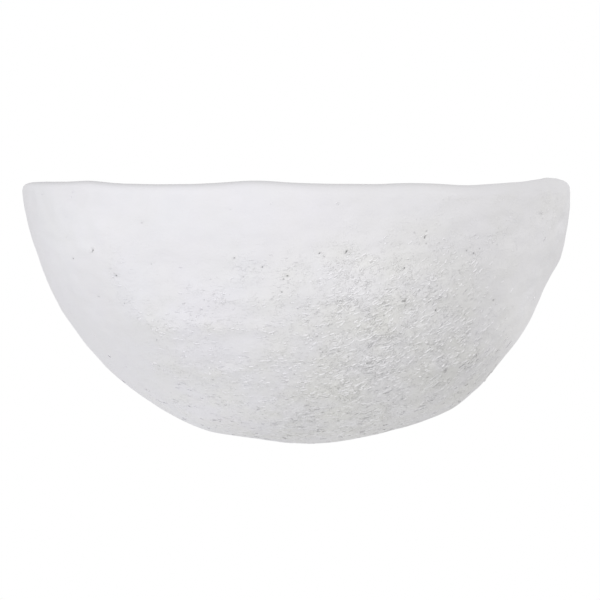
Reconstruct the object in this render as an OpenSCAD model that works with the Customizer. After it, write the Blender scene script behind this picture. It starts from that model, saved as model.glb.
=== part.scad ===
// Uplighter wall sconce: a hand-formed pulp half bowl, hooked on a steel wall plate that carries an
// upright screw lampholder. Millimetres, +Z up, +X right, the wall at y = 0 and the room towards -Y.
// The origin lies on the wall, midway between the two fixing slots.

/* [Bowl] */
// Width of the bowl along the wall
bowl_width = 400; // [370:5:460]
// How far the bowl stands out from the wall
bowl_depth = 180; // [170:5:230]
// Height from the rim down to the lowest point
bowl_height = 189; // [183:1:240]
// Height of the rim above the wall fixings
rim_height = 60; // [56:1:70]
// Thickness of the pulp wall
pulp_wall = 11; // [8:0.5:13]
// Height of the rounding of the lip at the left corner
lip_left = 6; // [4:0.5:10]
// Height of the rounding of the lip at the right corner
lip_right = 10; // [4:0.5:12]
// Thickness of the pulp at the corners, where the hanger is screwed on
corner_block = 30; // [28:1:36]
// Gap between the back edge of the bowl and the wall
back_gap = 1; // [0.5:0.5:3]
// How strongly the bumps and dents left by the hands show, 1 as made
hand_strength = 1; // [0.5:0.1:1.2]

/* [Hanger] */
// Height of the flat bar that the hanger is bent from
strap_height = 28; // [24:1:30]
// Thickness of the bar
strap_sheet = 2; // [1.5:0.25:2.5]
// From the rim down to the top edge of the bar
strap_below_rim = 20; // [16:1:24]
// Length of the tabs that are screwed to the bowl's corners
tab_length = 32; // [28:1:36]
// Width of each hook slot in the bar
hook_slot = 16; // [15:0.5:20]
// Bar left above each hook slot, which the hook carries
bar_over_hook = 12; // [8:0.5:12]
// Distance between the two hooks
hook_spacing = 100; // [84:2:112]
// Length of the wood screws under the head
wood_screw_length = 16; // [12:1:18]

/* [Wall plate] */
// Distance between the two wall fixing slots
fixing_spacing = 170; // [166:2:190]
// Length of each fixing slot
slot_length = 14; // [8:1:16]
// Width of each fixing slot
slot_width = 4.8; // [4.2:0.1:6]
// Metal between a slot's outer end and the end of the ear
ear_margin = 6; // [5:1:10]
// Height of the ears
ear_height = 36; // [24:2:44]
// Thickness of the sheet steel
plate_sheet = 1.5; // [1.2:0.1:2]
// How far the raised face stands out from the wall
plate_stand = 9.5; // [8.5:0.5:12]
// Width of the raised face
plate_face = 140; // [136:2:146]
// Height of each hook above its ledge
hook_height = 8; // [6:0.5:9]
// Width of each hook
hook_width = 14; // [12:0.5:14.5]
// Radius of the cable hole in the plate
cable_hole_r = 10; // [8:0.5:11]
// Radius of the bore through the cable grommet
grommet_bore_r = 5; // [3:0.5:6.5]

/* [Lamp arm] */
// From the wall to the axis of the lamp
lamp_reach = 75; // [70:1:90]
// From the wall fixings down to the top of the arm
arm_drop = 60; // [56:1:62]
// Width of the arm
arm_width = 26; // [24:1:30]
// Thickness of the arm
arm_sheet = 2; // [1.5:0.25:3]
// Radius of the threaded nipple that joins the lampholder to the arm
nipple_r = 5; // [4.5:0.25:5.5]
// Wall of the nipple
nipple_wall = 1.2; // [1:0.1:1.4]

/* [Lampholder] */
// Outer radius of the holder's skirt
skirt_r = 21; // [20:0.5:25]
// Wall of the holder's cap and skirt
holder_wall = 2; // [1.6:0.2:2.4]
// Height of the whole holder above the arm
holder_height = 57; // [56:0.5:62]
// Thickness of the ceramic insert
insert_height = 10; // [8:0.5:10]
// Pitch of the lamp thread
thread_pitch = 3.629; // [3.4:0.1:3.8]
// Radius over the crests of the lamp's thread
thread_crest_r = 13.1; // [12.9:0.1:13.2]
// Depth of the thread from crest to root
thread_depth = 1.05; // [0.8:0.05:1.2]
// Clearance between the lamp's thread and the holder's, at each side
thread_gap = 0.35; // [0.3:0.05:0.5]
// Thickness of the rolled thread metal
thread_sheet = 0.45; // [0.35:0.05:0.5]

/* [Lamp] */
// Diameter of the opal globe
globe_diameter = 45; // [40:1:50]
// Length of the lamp from its contact to the top of the globe
lamp_length = 78; // [74:1:84]
// Wall of the globe
globe_wall = 1.2; // [0.8:0.1:2]

/* [Wiring] */
// Distance between the poles of the terminal block
pole_pitch = 11; // [10.5:0.25:12]
// Height of the terminal block
block_height = 16; // [15:1:18]
// How far the terminal block stands out from the plate
block_depth = 16; // [15:0.5:18]
// Diameter of the single wires over their insulation
wire_diameter = 2.2; // [1.8:0.1:2.4]

/* [Hidden] */
$fn = 48;

// Places worked out from the driving sizes
seat_x = bowl_width / 2 - corner_block;
strap_top = rim_height - strap_below_rim;
strap_bottom = strap_top - strap_height;
strap_gap = 0.5;
strap_y = -plate_stand - strap_gap;
tab_end_y = strap_y - tab_length;
tab_screw_z = (strap_top + strap_bottom) / 2;
tab_screw_inset = 8;
tab_screws_y = [tab_end_y + tab_screw_inset, strap_y - strap_sheet - tab_screw_inset];
hook_seat_z = strap_top - bar_over_hook;
lift_room = 3;
hook_slot_z = hook_seat_z - plate_sheet - hook_height - lift_room;
hook_front_y = strap_y - strap_sheet - strap_gap - plate_sheet;
window_height = -plate_stand - hook_front_y + hook_height;
plate_margin = 5;
plate_top = hook_seat_z + window_height + plate_margin;
arm_top = -arm_drop;
plate_bottom = arm_top + arm_sheet;
ear_end = (fixing_spacing + slot_length) / 2 + ear_margin;
ear_corner_r = 6;
bend_r = 1;
cable_z = -8;
grommet_lip = 2;

// Standard fasteners: thread radius, head radius, head height, then nut flats and nut height
M4 = [2, 3.8, 2.6, 7, 3.2];
M3 = [1.5, 2.8, 1.8, 5.5, 2.4];
WOOD = [1.75, 3.5, 2.4];
hole_gap = 0.1;
washer_r = 4.5;
washer_height = 0.8;

arm_screw_x = 7;
arm_screw_rise = 18;
arm_screw_z = arm_top + arm_screw_rise;
arm_rise = 32;
tie_y = -52;
tie_notch = 1.5;
tie_width = 3.6;
tie_band = 1.1;
tie_drop = 3.4;

block_x = 38;
block_z = -7;
tube_stand = 8;
tube_y = -plate_stand - tube_stand;
tube_r = 2.6;
tube_bore_r = 1.5;
tower_width = 7.4;
block_base = 5;
clamp_z = 3.8;
clamp_screw_r = 1.25;
clamp_head_r = 1.8;
screw_slot = 0.7;
tag_x = 57;
tag_z = -49;
tag_sheet = 0.8;
tag_eye_r = 4.4;
barrel_r = 2.1;
barrel_wall = 0.7;
barrel_rise = 6.5;
barrel_z = tag_z + barrel_rise;
barrel_length = 7;

neck_r = 8;
neck_height = 8;
cap_height = 27;
cap_r = skirt_r - holder_wall - 0.3;
insert_z = 20;
insert_r = cap_r - holder_wall - 0.2;
insert_top = insert_z + insert_height;
contact_rise = 6;
contact_z = insert_top + contact_rise;
skirt_start = 15;
terminal_x = 9;
terminal_size = [5, 7, 6];
terminal_bore_z = insert_z - terminal_size.z / 2;
stud_r = 1.5;
live_stud_x = -8;
neutral_stud_x = 10.4;
shell_r = thread_crest_r - thread_depth / 2 + thread_gap;
wave = thread_depth / 2;
shell_flange_r = 10.3;
shell_height = 23;
shell_grip_r = shell_r + wave + thread_sheet + 0.3;
contact_strip = 0.6;
contact_width = 6;
contact_base_x = 9.6;

contact_r = 4.6;
contact_height = 1.2;
insulator_height = 4.5;
lamp_thread_length = 14.5;
lamp_cap_length = 20;
lamp_cap_start = contact_z + insulator_height;
lamp_thread_end = lamp_cap_start + lamp_thread_length;
lamp_cap_end = lamp_cap_start + lamp_cap_length;
lamp_top = contact_z + lamp_length;
globe_r = globe_diameter / 2;
globe_z = lamp_top - globe_r;
housing_wall = 1.6;
housing_start = lamp_cap_end - 2;
board_r = globe_r - 5;
board_height = 1.4;
globe_cut = -11;
globe_edge_r = sqrt(globe_r * globe_r - globe_cut * globe_cut);
housing_end = globe_z + globe_cut;
chip_size = 2.8;
chip_height = 0.7;
chip_count = 8;
driver_width = 19;
driver_sheet = 1.2;
driver_start = lamp_cap_start + 3.5;

// Counts of the facets on the hand-formed bowl, on the rolled threads and on the wires
rows = 26;
columns = 48;
lip_steps = 4;
thread_sides = 20;
thread_steps = 6;
wire_sides = 8;

// Bumps and dents of the bowl: angle around the rim from the right corner, angle down from the
// rim, height, spread along the outline and spread forward, the spreads as shares of the bowl
HAND_BUMPS = [
    [0, 55, 4.4, 0.13, 0.5],
    [0, 62, 2.8, 0.31, 0.6],
    [0, 23, -3.4, 0.09, 0.3],
    [0, 16, 1.4, 0.05, 0.16],
    [180, 14, -2.4, 0.12, 0.35],
    [180, 31, -3.7, 0.26, 0.5],
    [180, 70, 1.9, 0.09, 0.35],
    [180, 81, -1.5, 0.09, 0.35],
    [134, 11, 1.2, 0.12, 0.14],
    [127, 28, 2, 0.12, 0.14],
    [115, 33, 2, 0.12, 0.14],
    [97, 33, 1.6, 0.12, 0.14],
    [60, 20, -1.6, 0.2, 0.2],
    [70, 58, -1.4, 0.16, 0.2],
];

// Rises of the rim: angle around the rim from the right corner, height and spread in degrees
RIM_RISES = [
    [0, 2, 8],
    [20, 4.4, 12],
    [53, -0.9, 4],
    [66, 0.7, 4],
    [97.5, 2.2, 5.5],
    [137, 1.3, 4.5],
    [150, 1.6, 14],
    [172, 1.1, 10],
];

// Routes of the single wires, from the terminal block on
LIVE_ROUTE = [
    [27, -17.5, -12], [27, -17.5, -24], [26, -18, -38], [20.5, -21, -52], [15.8, -26, -62],
    [9, -33, -66.4], [1, -41, -64.4], [-1.4, -49, -63.4], [-1.4, -55, -64], [-1.4, -59.5, -69],
    [-1.4, -63.5, -75], [-1.4, -69, -78.6], [-1.4, -73.8, -76], [-1.4, -75, -69], [-1.4, -75, -58],
    [-1.4, -75, -50], [-2.3, -75, -45.2], [-5.4, -75, -43], [-9.6, -75, -43],
];
NEUTRAL_ROUTE = [
    [38, -17.5, -12], [38, -17.5, -24], [36, -18.5, -38], [28.5, -24, -53], [20, -32, -64.5],
    [11.5, -39, -66.6], [4, -44.6, -64.4], [1.4, -50, -63.4], [1.4, -55, -64], [1.4, -59.5, -69],
    [1.4, -63.5, -75], [1.4, -69, -78.6], [1.4, -73.8, -76], [1.4, -75, -69], [1.4, -75, -58],
    [1.4, -75, -50], [2.3, -75, -45.2], [5.4, -75, -43], [9.6, -75, -43],
];
EARTH_ROUTE = [
    [49, -17.5, -12], [49, -17.5, -19], [51, -16.6, -25.5], [55, -13.6, -30.5], [57, -11.6, -36],
    [57, -11.6, -41],
];

// ---- sums, faces and sweeps ----

function sum(values) = values * [for (v = values) 1];
function unit(v) = v / norm(v);
function split_quad(a, b, c, d) = [[a, b, c], [a, c, d]];

// A point of the smooth curve through a route, u counted in the route's points
function route_point(route, u) =
    let (last = len(route) - 1, i = min(floor(u), last - 1), t = u - i,
         p0 = route[max(i - 1, 0)], p1 = route[i], p2 = route[i + 1], p3 = route[min(i + 2, last)])
    0.5 * ((2 * p1) + (p2 - p0) * t + (2 * p0 - 5 * p1 + 4 * p2 - p3) * t * t
        + (3 * p1 - p0 - 3 * p2 + p3) * t * t * t);

// A round wire swept along a route, with three rings for every two of the route's points. No
// stretch of a route runs along the side that the rings are turned by.
module swept_wire(route, diameter) {
    rings = floor((len(route) - 1) * 3 / 2);
    span = (len(route) - 1) / rings;
    side = [1, -1, 0];
    points = [
        for (i = [0:rings])
            let (u = i * span,
                 at = route_point(route, u),
                 ahead = unit(route_point(route, min(u + 0.1, len(route) - 1))
                     - route_point(route, max(u - 0.1, 0))),
                 across = unit(cross(ahead, side)),
                 over = cross(ahead, across))
            for (j = [0:wire_sides - 1])
                at + diameter / 2 * (cos(360 * j / wire_sides) * across
                    + sin(360 * j / wire_sides) * over)
    ];
    skin = [
        for (i = [0:rings - 1], j = [0:wire_sides - 1])
            let (k = (j + 1) % wire_sides, a = i * wire_sides, b = a + wire_sides)
            each split_quad(a + j, b + j, b + k, a + k)
    ];
    start_face = [for (j = [0:wire_sides - 1]) j];
    end_face = [for (j = [wire_sides - 1:-1:0]) rings * wire_sides + j];
    polyhedron(points, concat(skin, [start_face, end_face]));
}

// A rolled metal thread: a closed loop of radius, height and wave, turned about +Z so that the
// wave winds up a helix
module rolled_thread(loop) {
    points = [
        for (p = loop, j = [0:thread_sides - 1])
            let (turn = 360 * j / thread_sides,
                 r = p[0] + p[2] * cos(360 * p[1] / thread_pitch - turn))
            [r * cos(turn), r * sin(turn), p[1]]
    ];
    faces = [
        for (i = [0:len(loop) - 1], j = [0:thread_sides - 1])
            let (a = i * thread_sides, b = (i + 1) % len(loop) * thread_sides,
                 k = (j + 1) % thread_sides)
            each split_quad(a + j, b + j, b + k, a + k)
    ];
    polyhedron(points, faces);
}

// Heights along a thread from one level to another
function thread_levels(from, to) =
    let (count = ceil(abs(to - from) * thread_steps / thread_pitch))
    [for (i = [0:count]) from + (to - from) * i / count];

// ---- fasteners ----

// Pan-head screw pointing down from the seat of its head at z = 0
module pan_screw(kind, length) {
    groove = 0.9;
    groove_depth = kind[2] * 0.5;
    difference() {
        union() {
            translate([0, 0, -length]) cylinder(r = kind[0], h = length);
            cylinder(r = kind[1], h = kind[2] * 0.6);
            translate([0, 0, kind[2] * 0.6])
                cylinder(r1 = kind[1], r2 = kind[1] * 0.7, h = kind[2] * 0.4);
        }
        translate([-kind[1], -groove / 2, kind[2] - groove_depth])
            cube([2 * kind[1], groove, groove_depth + 1]);
    }
}

// Hexagon nut standing on z = 0
module hex_nut(bore_r, flats, height) {
    difference() {
        cylinder(r = flats / sqrt(3), h = height, $fn = 6);
        translate([0, 0, -1]) cylinder(r = bore_r, h = height + 2);
    }
}

// Turns what points up so that it faces the room, at a place on the plate
module facing_room(x, y, z) {
    translate([x, y, z]) rotate([90, 0, 0]) children();
}

// Puts what stands on the arm at the lamp's axis
module on_arm() {
    translate([0, -lamp_reach, arm_top]) children();
}

// Both sides, right then left
module both_sides() {
    children();
    mirror([1, 0, 0]) children();
}

// Sheet metal bent through a right angle about +Z, from +X round to +Y
module sheet_bend(inner_r, sheet, height) {
    rotate_extrude(angle = 90) translate([inner_r, 0]) square([sheet, height]);
}

// ---- shade ----

function unit_place(plan, drop) = [cos(plan) * cos(drop), sin(plan) * cos(drop), sin(drop)];

function bump_at(place, bump) =
    let (d = place - unit_place(bump[0], bump[1]))
    bump[2] * exp(-(d.x * d.x + d.z * d.z) / (2 * bump[3] * bump[3])
        - d.y * d.y / (2 * bump[4] * bump[4]));

function hand_lift(plan, drop) =
    hand_strength * sum([for (bump = HAND_BUMPS) bump_at(unit_place(plan, drop), bump)]);

function rim_rise(plan) =
    hand_strength * sum([for (r = RIM_RISES) r[1] * exp(-pow(plan - r[0], 2) / (2 * r[2] * r[2]))]);

function lip_height(plan) = lip_left + (lip_right - lip_left) * (1 + cos(plan)) / 2;

// A point of the outer skin, or of one inset from it
function skin_point(plan, drop, inset) =
    let (lift = hand_lift(plan, drop) - inset,
         settle = (lip_height(plan) - rim_rise(plan)) * pow(1 - sin(drop), 2))
    [(bowl_width / 2 + lift) * cos(plan) * cos(drop),
     -back_gap - (bowl_depth - back_gap + lift) * sin(plan) * cos(drop),
     rim_height - (bowl_height + lift) * sin(drop) - settle];

function outer_point(plan, drop) = skin_point(plan, drop, 0);

// The inner skin is flat at the corners, where the hanger's tabs are seated
function inner_point(plan, drop) =
    let (p = skin_point(plan, drop, pulp_wall))
    [max(-seat_x, min(seat_x, p.x)), p.y, p.z];

// A point of the lip, turning over from the outer skin to the inner one
function lip_point(plan, turn) =
    let (o = outer_point(plan, 0), i = inner_point(plan, 0))
    (o + i) / 2 + (o - i) / 2 * cos(turn) + [0, 0, lip_height(plan) * sin(turn)];

module pulp_half_bowl() {
    plans = [for (j = [0:columns]) 180 * j / columns];
    drops = [for (i = [1:rows]) 90 * (1 - i / rows)];
    turns = [for (k = [1:lip_steps - 1]) 180 * k / lip_steps];
    points = concat(
        [outer_point(0, 90)],
        [for (drop = drops, plan = plans) outer_point(plan, drop)],
        [for (turn = turns, plan = plans) lip_point(plan, turn)],
        [for (i = [rows - 1:-1:0], plan = plans) inner_point(plan, drops[i])],
        [inner_point(0, 90)]
    );
    total = 2 * rows + lip_steps - 1;
    width = columns + 1;
    outer_pole = 0;
    inner_pole = 1 + total * width;
    skin = [
        for (i = [0:total - 2], j = [0:columns - 1])
            let (a = 1 + i * width + j)
            each split_quad(a, a + 1, a + 1 + width, a + width)
    ];
    outer_fan = [for (j = [0:columns - 1]) [outer_pole, j + 2, j + 1]];
    inner_fan = [
        for (j = [0:columns - 1])
            let (a = 1 + (total - 1) * width + j)
            [a, a + 1, inner_pole]
    ];
    right_edge = concat(
        [
            for (i = [0:rows - 2])
                let (a = 1 + i * width, b = 1 + (total - 1 - i) * width)
                each split_quad(a, a + width, b - width, b)
        ],
        split_quad(outer_pole, 1, 1 + (total - 1) * width, inner_pole),
        [[for (i = [rows - 1:total - rows]) 1 + i * width]]
    );
    left_edge = concat(
        [
            for (i = [0:rows - 2])
                let (a = 1 + i * width + columns, b = 1 + (total - 1 - i) * width + columns)
                each split_quad(a, b, b - width, a + width)
        ],
        split_quad(outer_pole, inner_pole, total * width, width),
        [[for (i = [total - rows:-1:rows - 1]) (i + 1) * width]]
    );
    polyhedron(points, concat(skin, outer_fan, inner_fan, right_edge, left_edge));
}

// Puts a screw or washer at each of the right tab's two screw places, pointing out of the bowl
module at_tab_screws() {
    for (y = tab_screws_y)
        translate([seat_x - strap_sheet, y, tab_screw_z]) rotate([0, -90, 0]) children();
}

module shade_bowl() {
    color("white")
    difference() {
        pulp_half_bowl();
        both_sides() at_tab_screws()
            translate([0, 0, -wood_screw_length]) cylinder(r = WOOD[0] + 0.05, h = wood_screw_length);
    }
}

module hanger_strap() {
    straight_x = seat_x - strap_sheet - bend_r;
    color("silver")
    difference() {
        union() {
            translate([-straight_x, strap_y - strap_sheet, strap_bottom])
                cube([2 * straight_x, strap_sheet, strap_height]);
            both_sides() {
                translate([straight_x, strap_y - strap_sheet - bend_r, strap_bottom])
                    sheet_bend(bend_r, strap_sheet, strap_height);
                translate([seat_x - strap_sheet, tab_end_y, strap_bottom])
                    cube([strap_sheet, tab_length - strap_sheet - bend_r, strap_height]);
            }
        }
        both_sides() {
            translate([(hook_spacing - hook_slot) / 2, strap_y - 2 * strap_sheet, hook_slot_z])
                cube([hook_slot, 3 * strap_sheet, hook_seat_z - hook_slot_z]);
            at_tab_screws() translate([0, 0, -2 * strap_sheet])
                cylinder(r = WOOD[0] + hole_gap, h = 3 * strap_sheet);
        }
    }
}

module strap_screws() {
    color("silver")
    both_sides() at_tab_screws()
        translate([0, 0, washer_height]) pan_screw(WOOD, wood_screw_length);
}

module strap_washers() {
    color("silver")
    both_sides() at_tab_screws()
        difference() {
            cylinder(r = washer_r, h = washer_height);
            translate([0, 0, -1]) cylinder(r = WOOD[0] + hole_gap, h = washer_height + 2);
        }
}

// ---- wall plate ----

// Half-open channel section seen from above, its face towards the room
module channel_outline(half_width, depth, corner_r) {
    translate([-half_width, -depth + corner_r]) square([2 * half_width, depth - corner_r]);
    translate([-half_width + corner_r, -depth]) square([2 * (half_width - corner_r), depth]);
    for (side = [-1, 1])
        translate([side * (half_width - corner_r), -depth + corner_r]) circle(r = corner_r);
}

module plate_section() {
    difference() {
        channel_outline(plate_face / 2, plate_stand, bend_r + plate_sheet);
        translate([0, 1])
            channel_outline(plate_face / 2 - plate_sheet, plate_stand - plate_sheet + 1, bend_r);
    }
    for (side = [-1, 1])
        translate([side > 0 ? plate_face / 2 - plate_sheet : -ear_end, -plate_sheet])
            square([ear_end - plate_face / 2 + plate_sheet, plate_sheet]);
}

// Front outline of the plate, with rounded ears
module plate_outline() {
    ear_z = ear_height / 2;
    translate([-plate_face / 2, plate_bottom]) square([plate_face, plate_top - plate_bottom]);
    translate([-ear_end + ear_corner_r, -ear_z])
        square([2 * (ear_end - ear_corner_r), ear_height]);
    translate([-ear_end, -ear_z + ear_corner_r])
        square([2 * ear_end, ear_height - 2 * ear_corner_r]);
    for (x = [-1, 1], z = [-1, 1])
        translate([x * (ear_end - ear_corner_r), z * (ear_z - ear_corner_r)])
            circle(r = ear_corner_r);
}

module fixing_slot() {
    straight = slot_length - slot_width;
    facing_room(0, 1, 0) {
        translate([-straight / 2, -slot_width / 2, 0])
            cube([straight, slot_width, plate_sheet + 2]);
        for (side = [-1, 1])
            translate([side * straight / 2, 0, 0])
                cylinder(r = slot_width / 2, h = plate_sheet + 2);
    }
}

module plate_hook() {
    ledge_depth = -plate_stand - hook_front_y;
    translate([-hook_width / 2, hook_front_y, hook_seat_z - plate_sheet])
        cube([hook_width, ledge_depth, plate_sheet]);
    translate([-hook_width / 2, hook_front_y, hook_seat_z - plate_sheet])
        cube([hook_width, plate_sheet, hook_height + plate_sheet]);
}

module wall_plate() {
    color("gainsboro")
    difference() {
        union() {
            intersection() {
                translate([0, 0, plate_bottom])
                    linear_extrude(height = plate_top - plate_bottom) plate_section();
                facing_room(0, 1, 0)
                    linear_extrude(height = plate_stand + 2) plate_outline();
            }
            for (x = [-hook_spacing / 2, hook_spacing / 2])
                translate([x, 0, 0]) plate_hook();
        }
        for (x = [-hook_spacing / 2, hook_spacing / 2])
            translate([x - hook_width / 2, -plate_stand, hook_seat_z])
                translate([0, -0.01, 0]) cube([hook_width, plate_sheet + 0.02, window_height]);
        for (x = [-fixing_spacing / 2, fixing_spacing / 2])
            translate([x, 0, 0]) fixing_slot();
        facing_room(0, 0, cable_z) cylinder(r = cable_hole_r, h = plate_stand + 1);
        for (x = [-arm_screw_x, arm_screw_x])
            facing_room(x, 0, arm_screw_z) cylinder(r = M4[0] + hole_gap, h = plate_stand + 1);
        facing_room(block_x - pole_pitch / 2, 0, block_z)
            cylinder(r = M3[0] + hole_gap, h = plate_stand + 1);
        facing_room(tag_x, 0, tag_z) cylinder(r = M4[0] + hole_gap, h = plate_stand + 1);
    }
}

module cable_grommet() {
    lip_r = cable_hole_r + 2.2;
    color("dimgray")
    facing_room(0, -plate_stand + plate_sheet, cable_z)
        rotate_extrude()
            polygon([
                [grommet_bore_r, -grommet_lip],
                [lip_r - 0.6, -grommet_lip],
                [lip_r, -grommet_lip + 0.6],
                [lip_r, 0],
                [cable_hole_r, 0],
                [cable_hole_r, plate_sheet],
                [lip_r, plate_sheet],
                [lip_r, plate_sheet + grommet_lip - 0.6],
                [lip_r - 0.6, plate_sheet + grommet_lip],
                [grommet_bore_r, plate_sheet + grommet_lip],
            ]);
}

// ---- lamp arm ----

module lamp_arm() {
    outer_r = bend_r + arm_sheet;
    leg_y = -plate_stand - arm_sheet;
    tip_y = -lamp_reach;
    color("silver")
    difference() {
        union() {
            translate([-arm_width / 2, leg_y, arm_top - arm_sheet + outer_r])
                cube([arm_width, arm_sheet, arm_rise + arm_sheet - outer_r]);
            translate([arm_width / 2, -plate_stand - outer_r, arm_top - arm_sheet + outer_r])
                rotate([-90, 0, 90]) sheet_bend(bend_r, arm_sheet, arm_width);
            translate([-arm_width / 2, tip_y, arm_top - arm_sheet])
                cube([arm_width, -plate_stand - outer_r - tip_y, arm_sheet]);
            translate([0, tip_y, arm_top - arm_sheet]) cylinder(r = arm_width / 2, h = arm_sheet);
        }
        translate([0, tip_y, arm_top - 2 * arm_sheet])
            cylinder(r = nipple_r + hole_gap, h = 3 * arm_sheet);
        for (x = [-arm_screw_x, arm_screw_x])
            facing_room(x, -plate_stand + 1, arm_screw_z)
                cylinder(r = M4[0] + hole_gap, h = arm_sheet + 2);
        both_sides()
            translate([arm_width / 2 - tie_notch, tie_y - tie_width / 2 - 0.2, arm_top - 2 * arm_sheet])
                cube([tie_notch + 1, tie_width + 0.4, 3 * arm_sheet]);
    }
}

module arm_screws() {
    color("silver")
    for (x = [-arm_screw_x, arm_screw_x])
        facing_room(x, -plate_stand - arm_sheet, arm_screw_z)
            pan_screw(M4, arm_sheet + plate_sheet + M4[4] + 1);
}

// A nut behind the plate, against the back of its raised face
module back_nut(kind, x, z) {
    facing_room(x, -plate_stand + plate_sheet + kind[4], z)
        hex_nut(kind[0] + hole_gap, kind[3], kind[4]);
}

module arm_nuts() {
    color("silver")
    for (x = [-arm_screw_x, arm_screw_x])
        back_nut(M4, x, arm_screw_z);
}

// ---- wiring ----

// Puts its children at each of the block's three poles
module at_poles() {
    for (i = [-1:1])
        translate([block_x + i * pole_pitch, 0, block_z]) children();
}

module terminal_block() {
    half = block_height / 2;
    tower_r = 2;
    color("white")
    difference() {
        union() {
            translate([block_x - pole_pitch - tower_width / 2, -plate_stand - block_base, block_z - half])
                cube([2 * pole_pitch + tower_width, block_base, block_height]);
            at_poles() {
                translate([-tower_width / 2, -plate_stand - block_depth + tower_r, -half])
                    cube([tower_width, block_depth - tower_r, block_height]);
                translate([-tower_width / 2 + tower_r, -plate_stand - block_depth, -half])
                    cube([tower_width - 2 * tower_r, block_depth, block_height]);
                for (side = [-1, 1])
                    translate([side * (tower_width / 2 - tower_r), tower_r - plate_stand - block_depth, 0])
                        cylinder(r = tower_r, h = block_height, center = true);
            }
        }
        at_poles() {
            translate([0, tube_y, -half - 1]) cylinder(r = tube_r, h = block_height + 2);
            for (z = [-clamp_z, clamp_z])
                facing_room(0, tube_y, z) cylinder(r = clamp_head_r + 0.2, h = block_depth);
        }
        facing_room(block_x - pole_pitch / 2, 0, block_z)
            cylinder(r = M3[0] + hole_gap, h = plate_stand + block_base + 1);
        facing_room(block_x - pole_pitch / 2, -plate_stand - block_base, block_z)
            cylinder(r = M3[1] + 0.2, h = block_depth);
    }
}

module terminal_tubes() {
    color("gold")
    at_poles()
        difference() {
            translate([0, tube_y, -block_height / 2 + 1]) cylinder(r = tube_r, h = block_height - 2);
            translate([0, tube_y, -block_height / 2]) cylinder(r = tube_bore_r, h = block_height);
            for (z = [-clamp_z, clamp_z])
                facing_room(0, tube_y, z) cylinder(r = clamp_screw_r + 0.05, h = tube_r + 1);
        }
}

module terminal_screws() {
    head_height = 3;
    shank = 1.9;
    color("silver")
    at_poles()
        for (z = [-clamp_z, clamp_z])
            facing_room(0, tube_y - tube_r - 0.6, z)
                difference() {
                    union() {
                        translate([0, 0, -shank]) cylinder(r = clamp_screw_r, h = shank);
                        cylinder(r = clamp_head_r, h = head_height);
                    }
                    translate([-2 * clamp_head_r, -screw_slot / 2, head_height - 1])
                        cube([4 * clamp_head_r, screw_slot, 2]);
                }
}

module block_screw() {
    color("silver")
    facing_room(block_x - pole_pitch / 2, -plate_stand - block_base, block_z)
        pan_screw(M3, block_base + plate_sheet + M3[4] + 0.8);
}

module block_nut() {
    color("silver")
    back_nut(M3, block_x - pole_pitch / 2, block_z);
}

module earth_tag() {
    barrel_y = -plate_stand - barrel_r;
    tag_neck = 3.2;
    color("goldenrod")
    difference() {
        union() {
            facing_room(tag_x, -plate_stand, tag_z) cylinder(r = tag_eye_r, h = tag_sheet);
            translate([tag_x - tag_neck / 2, -plate_stand - tag_sheet, tag_z])
                cube([tag_neck, tag_sheet, barrel_rise + 1]);
            translate([tag_x, barrel_y, barrel_z]) cylinder(r = barrel_r, h = barrel_length);
        }
        facing_room(tag_x, -plate_stand + 1, tag_z) cylinder(r = M4[0] + hole_gap, h = tag_sheet + 2);
        translate([tag_x, barrel_y, barrel_z - 1])
            cylinder(r = barrel_r - barrel_wall, h = barrel_length + 2);
    }
}

module earth_screw() {
    color("gold")
    facing_room(tag_x, -plate_stand - tag_sheet, tag_z)
        pan_screw(M4, tag_sheet + plate_sheet + M4[4] + 0.8);
}

module earth_nut() {
    color("gold")
    back_nut(M4, tag_x, tag_z);
}

module live_wire() {
    color("saddlebrown") swept_wire(LIVE_ROUTE, wire_diameter);
}

module neutral_wire() {
    color("royalblue") swept_wire(NEUTRAL_ROUTE, wire_diameter);
}

module earth_wire() {
    color("limegreen") swept_wire(EARTH_ROUTE, wire_diameter);
}

// A thin tie round the arm and the two wires under it, in the arm's notches
module wire_tie() {
    half = arm_width / 2 - tie_notch + 0.1;
    low = -arm_sheet - tie_drop;
    color("white")
    translate([0, tie_y + tie_width / 2, arm_top]) rotate([90, 0, 0])
        linear_extrude(height = tie_width)
            difference() {
                polygon([
                    [-half - tie_band, 0.1 + tie_band],
                    [-half - tie_band, -arm_sheet],
                    [-half + 5, low - tie_band],
                    [half - 5, low - tie_band],
                    [half + tie_band, -arm_sheet],
                    [half + tie_band, 0.1 + tie_band],
                ]);
                polygon([
                    [-half, 0.1],
                    [-half, -arm_sheet],
                    [-half + 5.5, low],
                    [half - 5.5, low],
                    [half, -arm_sheet],
                    [half, 0.1],
                ]);
            }
}

// ---- lampholder ----

module nipple() {
    low = -arm_sheet - 6.5;
    high = 11;
    color("gold")
    on_arm()
        difference() {
            translate([0, 0, low]) cylinder(r = nipple_r, h = high - low);
            translate([0, 0, low - 1]) cylinder(r = nipple_r - nipple_wall, h = high - low + 2);
        }
}

module nipple_washer() {
    color("silver")
    on_arm() translate([0, 0, -arm_sheet - washer_height])
        difference() {
            cylinder(r = nipple_r + 3, h = washer_height);
            translate([0, 0, -1]) cylinder(r = nipple_r + hole_gap, h = washer_height + 2);
        }
}

module nipple_nut() {
    nut_height = 3;
    color("gold")
    on_arm() translate([0, 0, -arm_sheet - washer_height - nut_height])
        hex_nut(nipple_r + 0.05, 2 * nipple_r + 4, nut_height);
}

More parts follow.
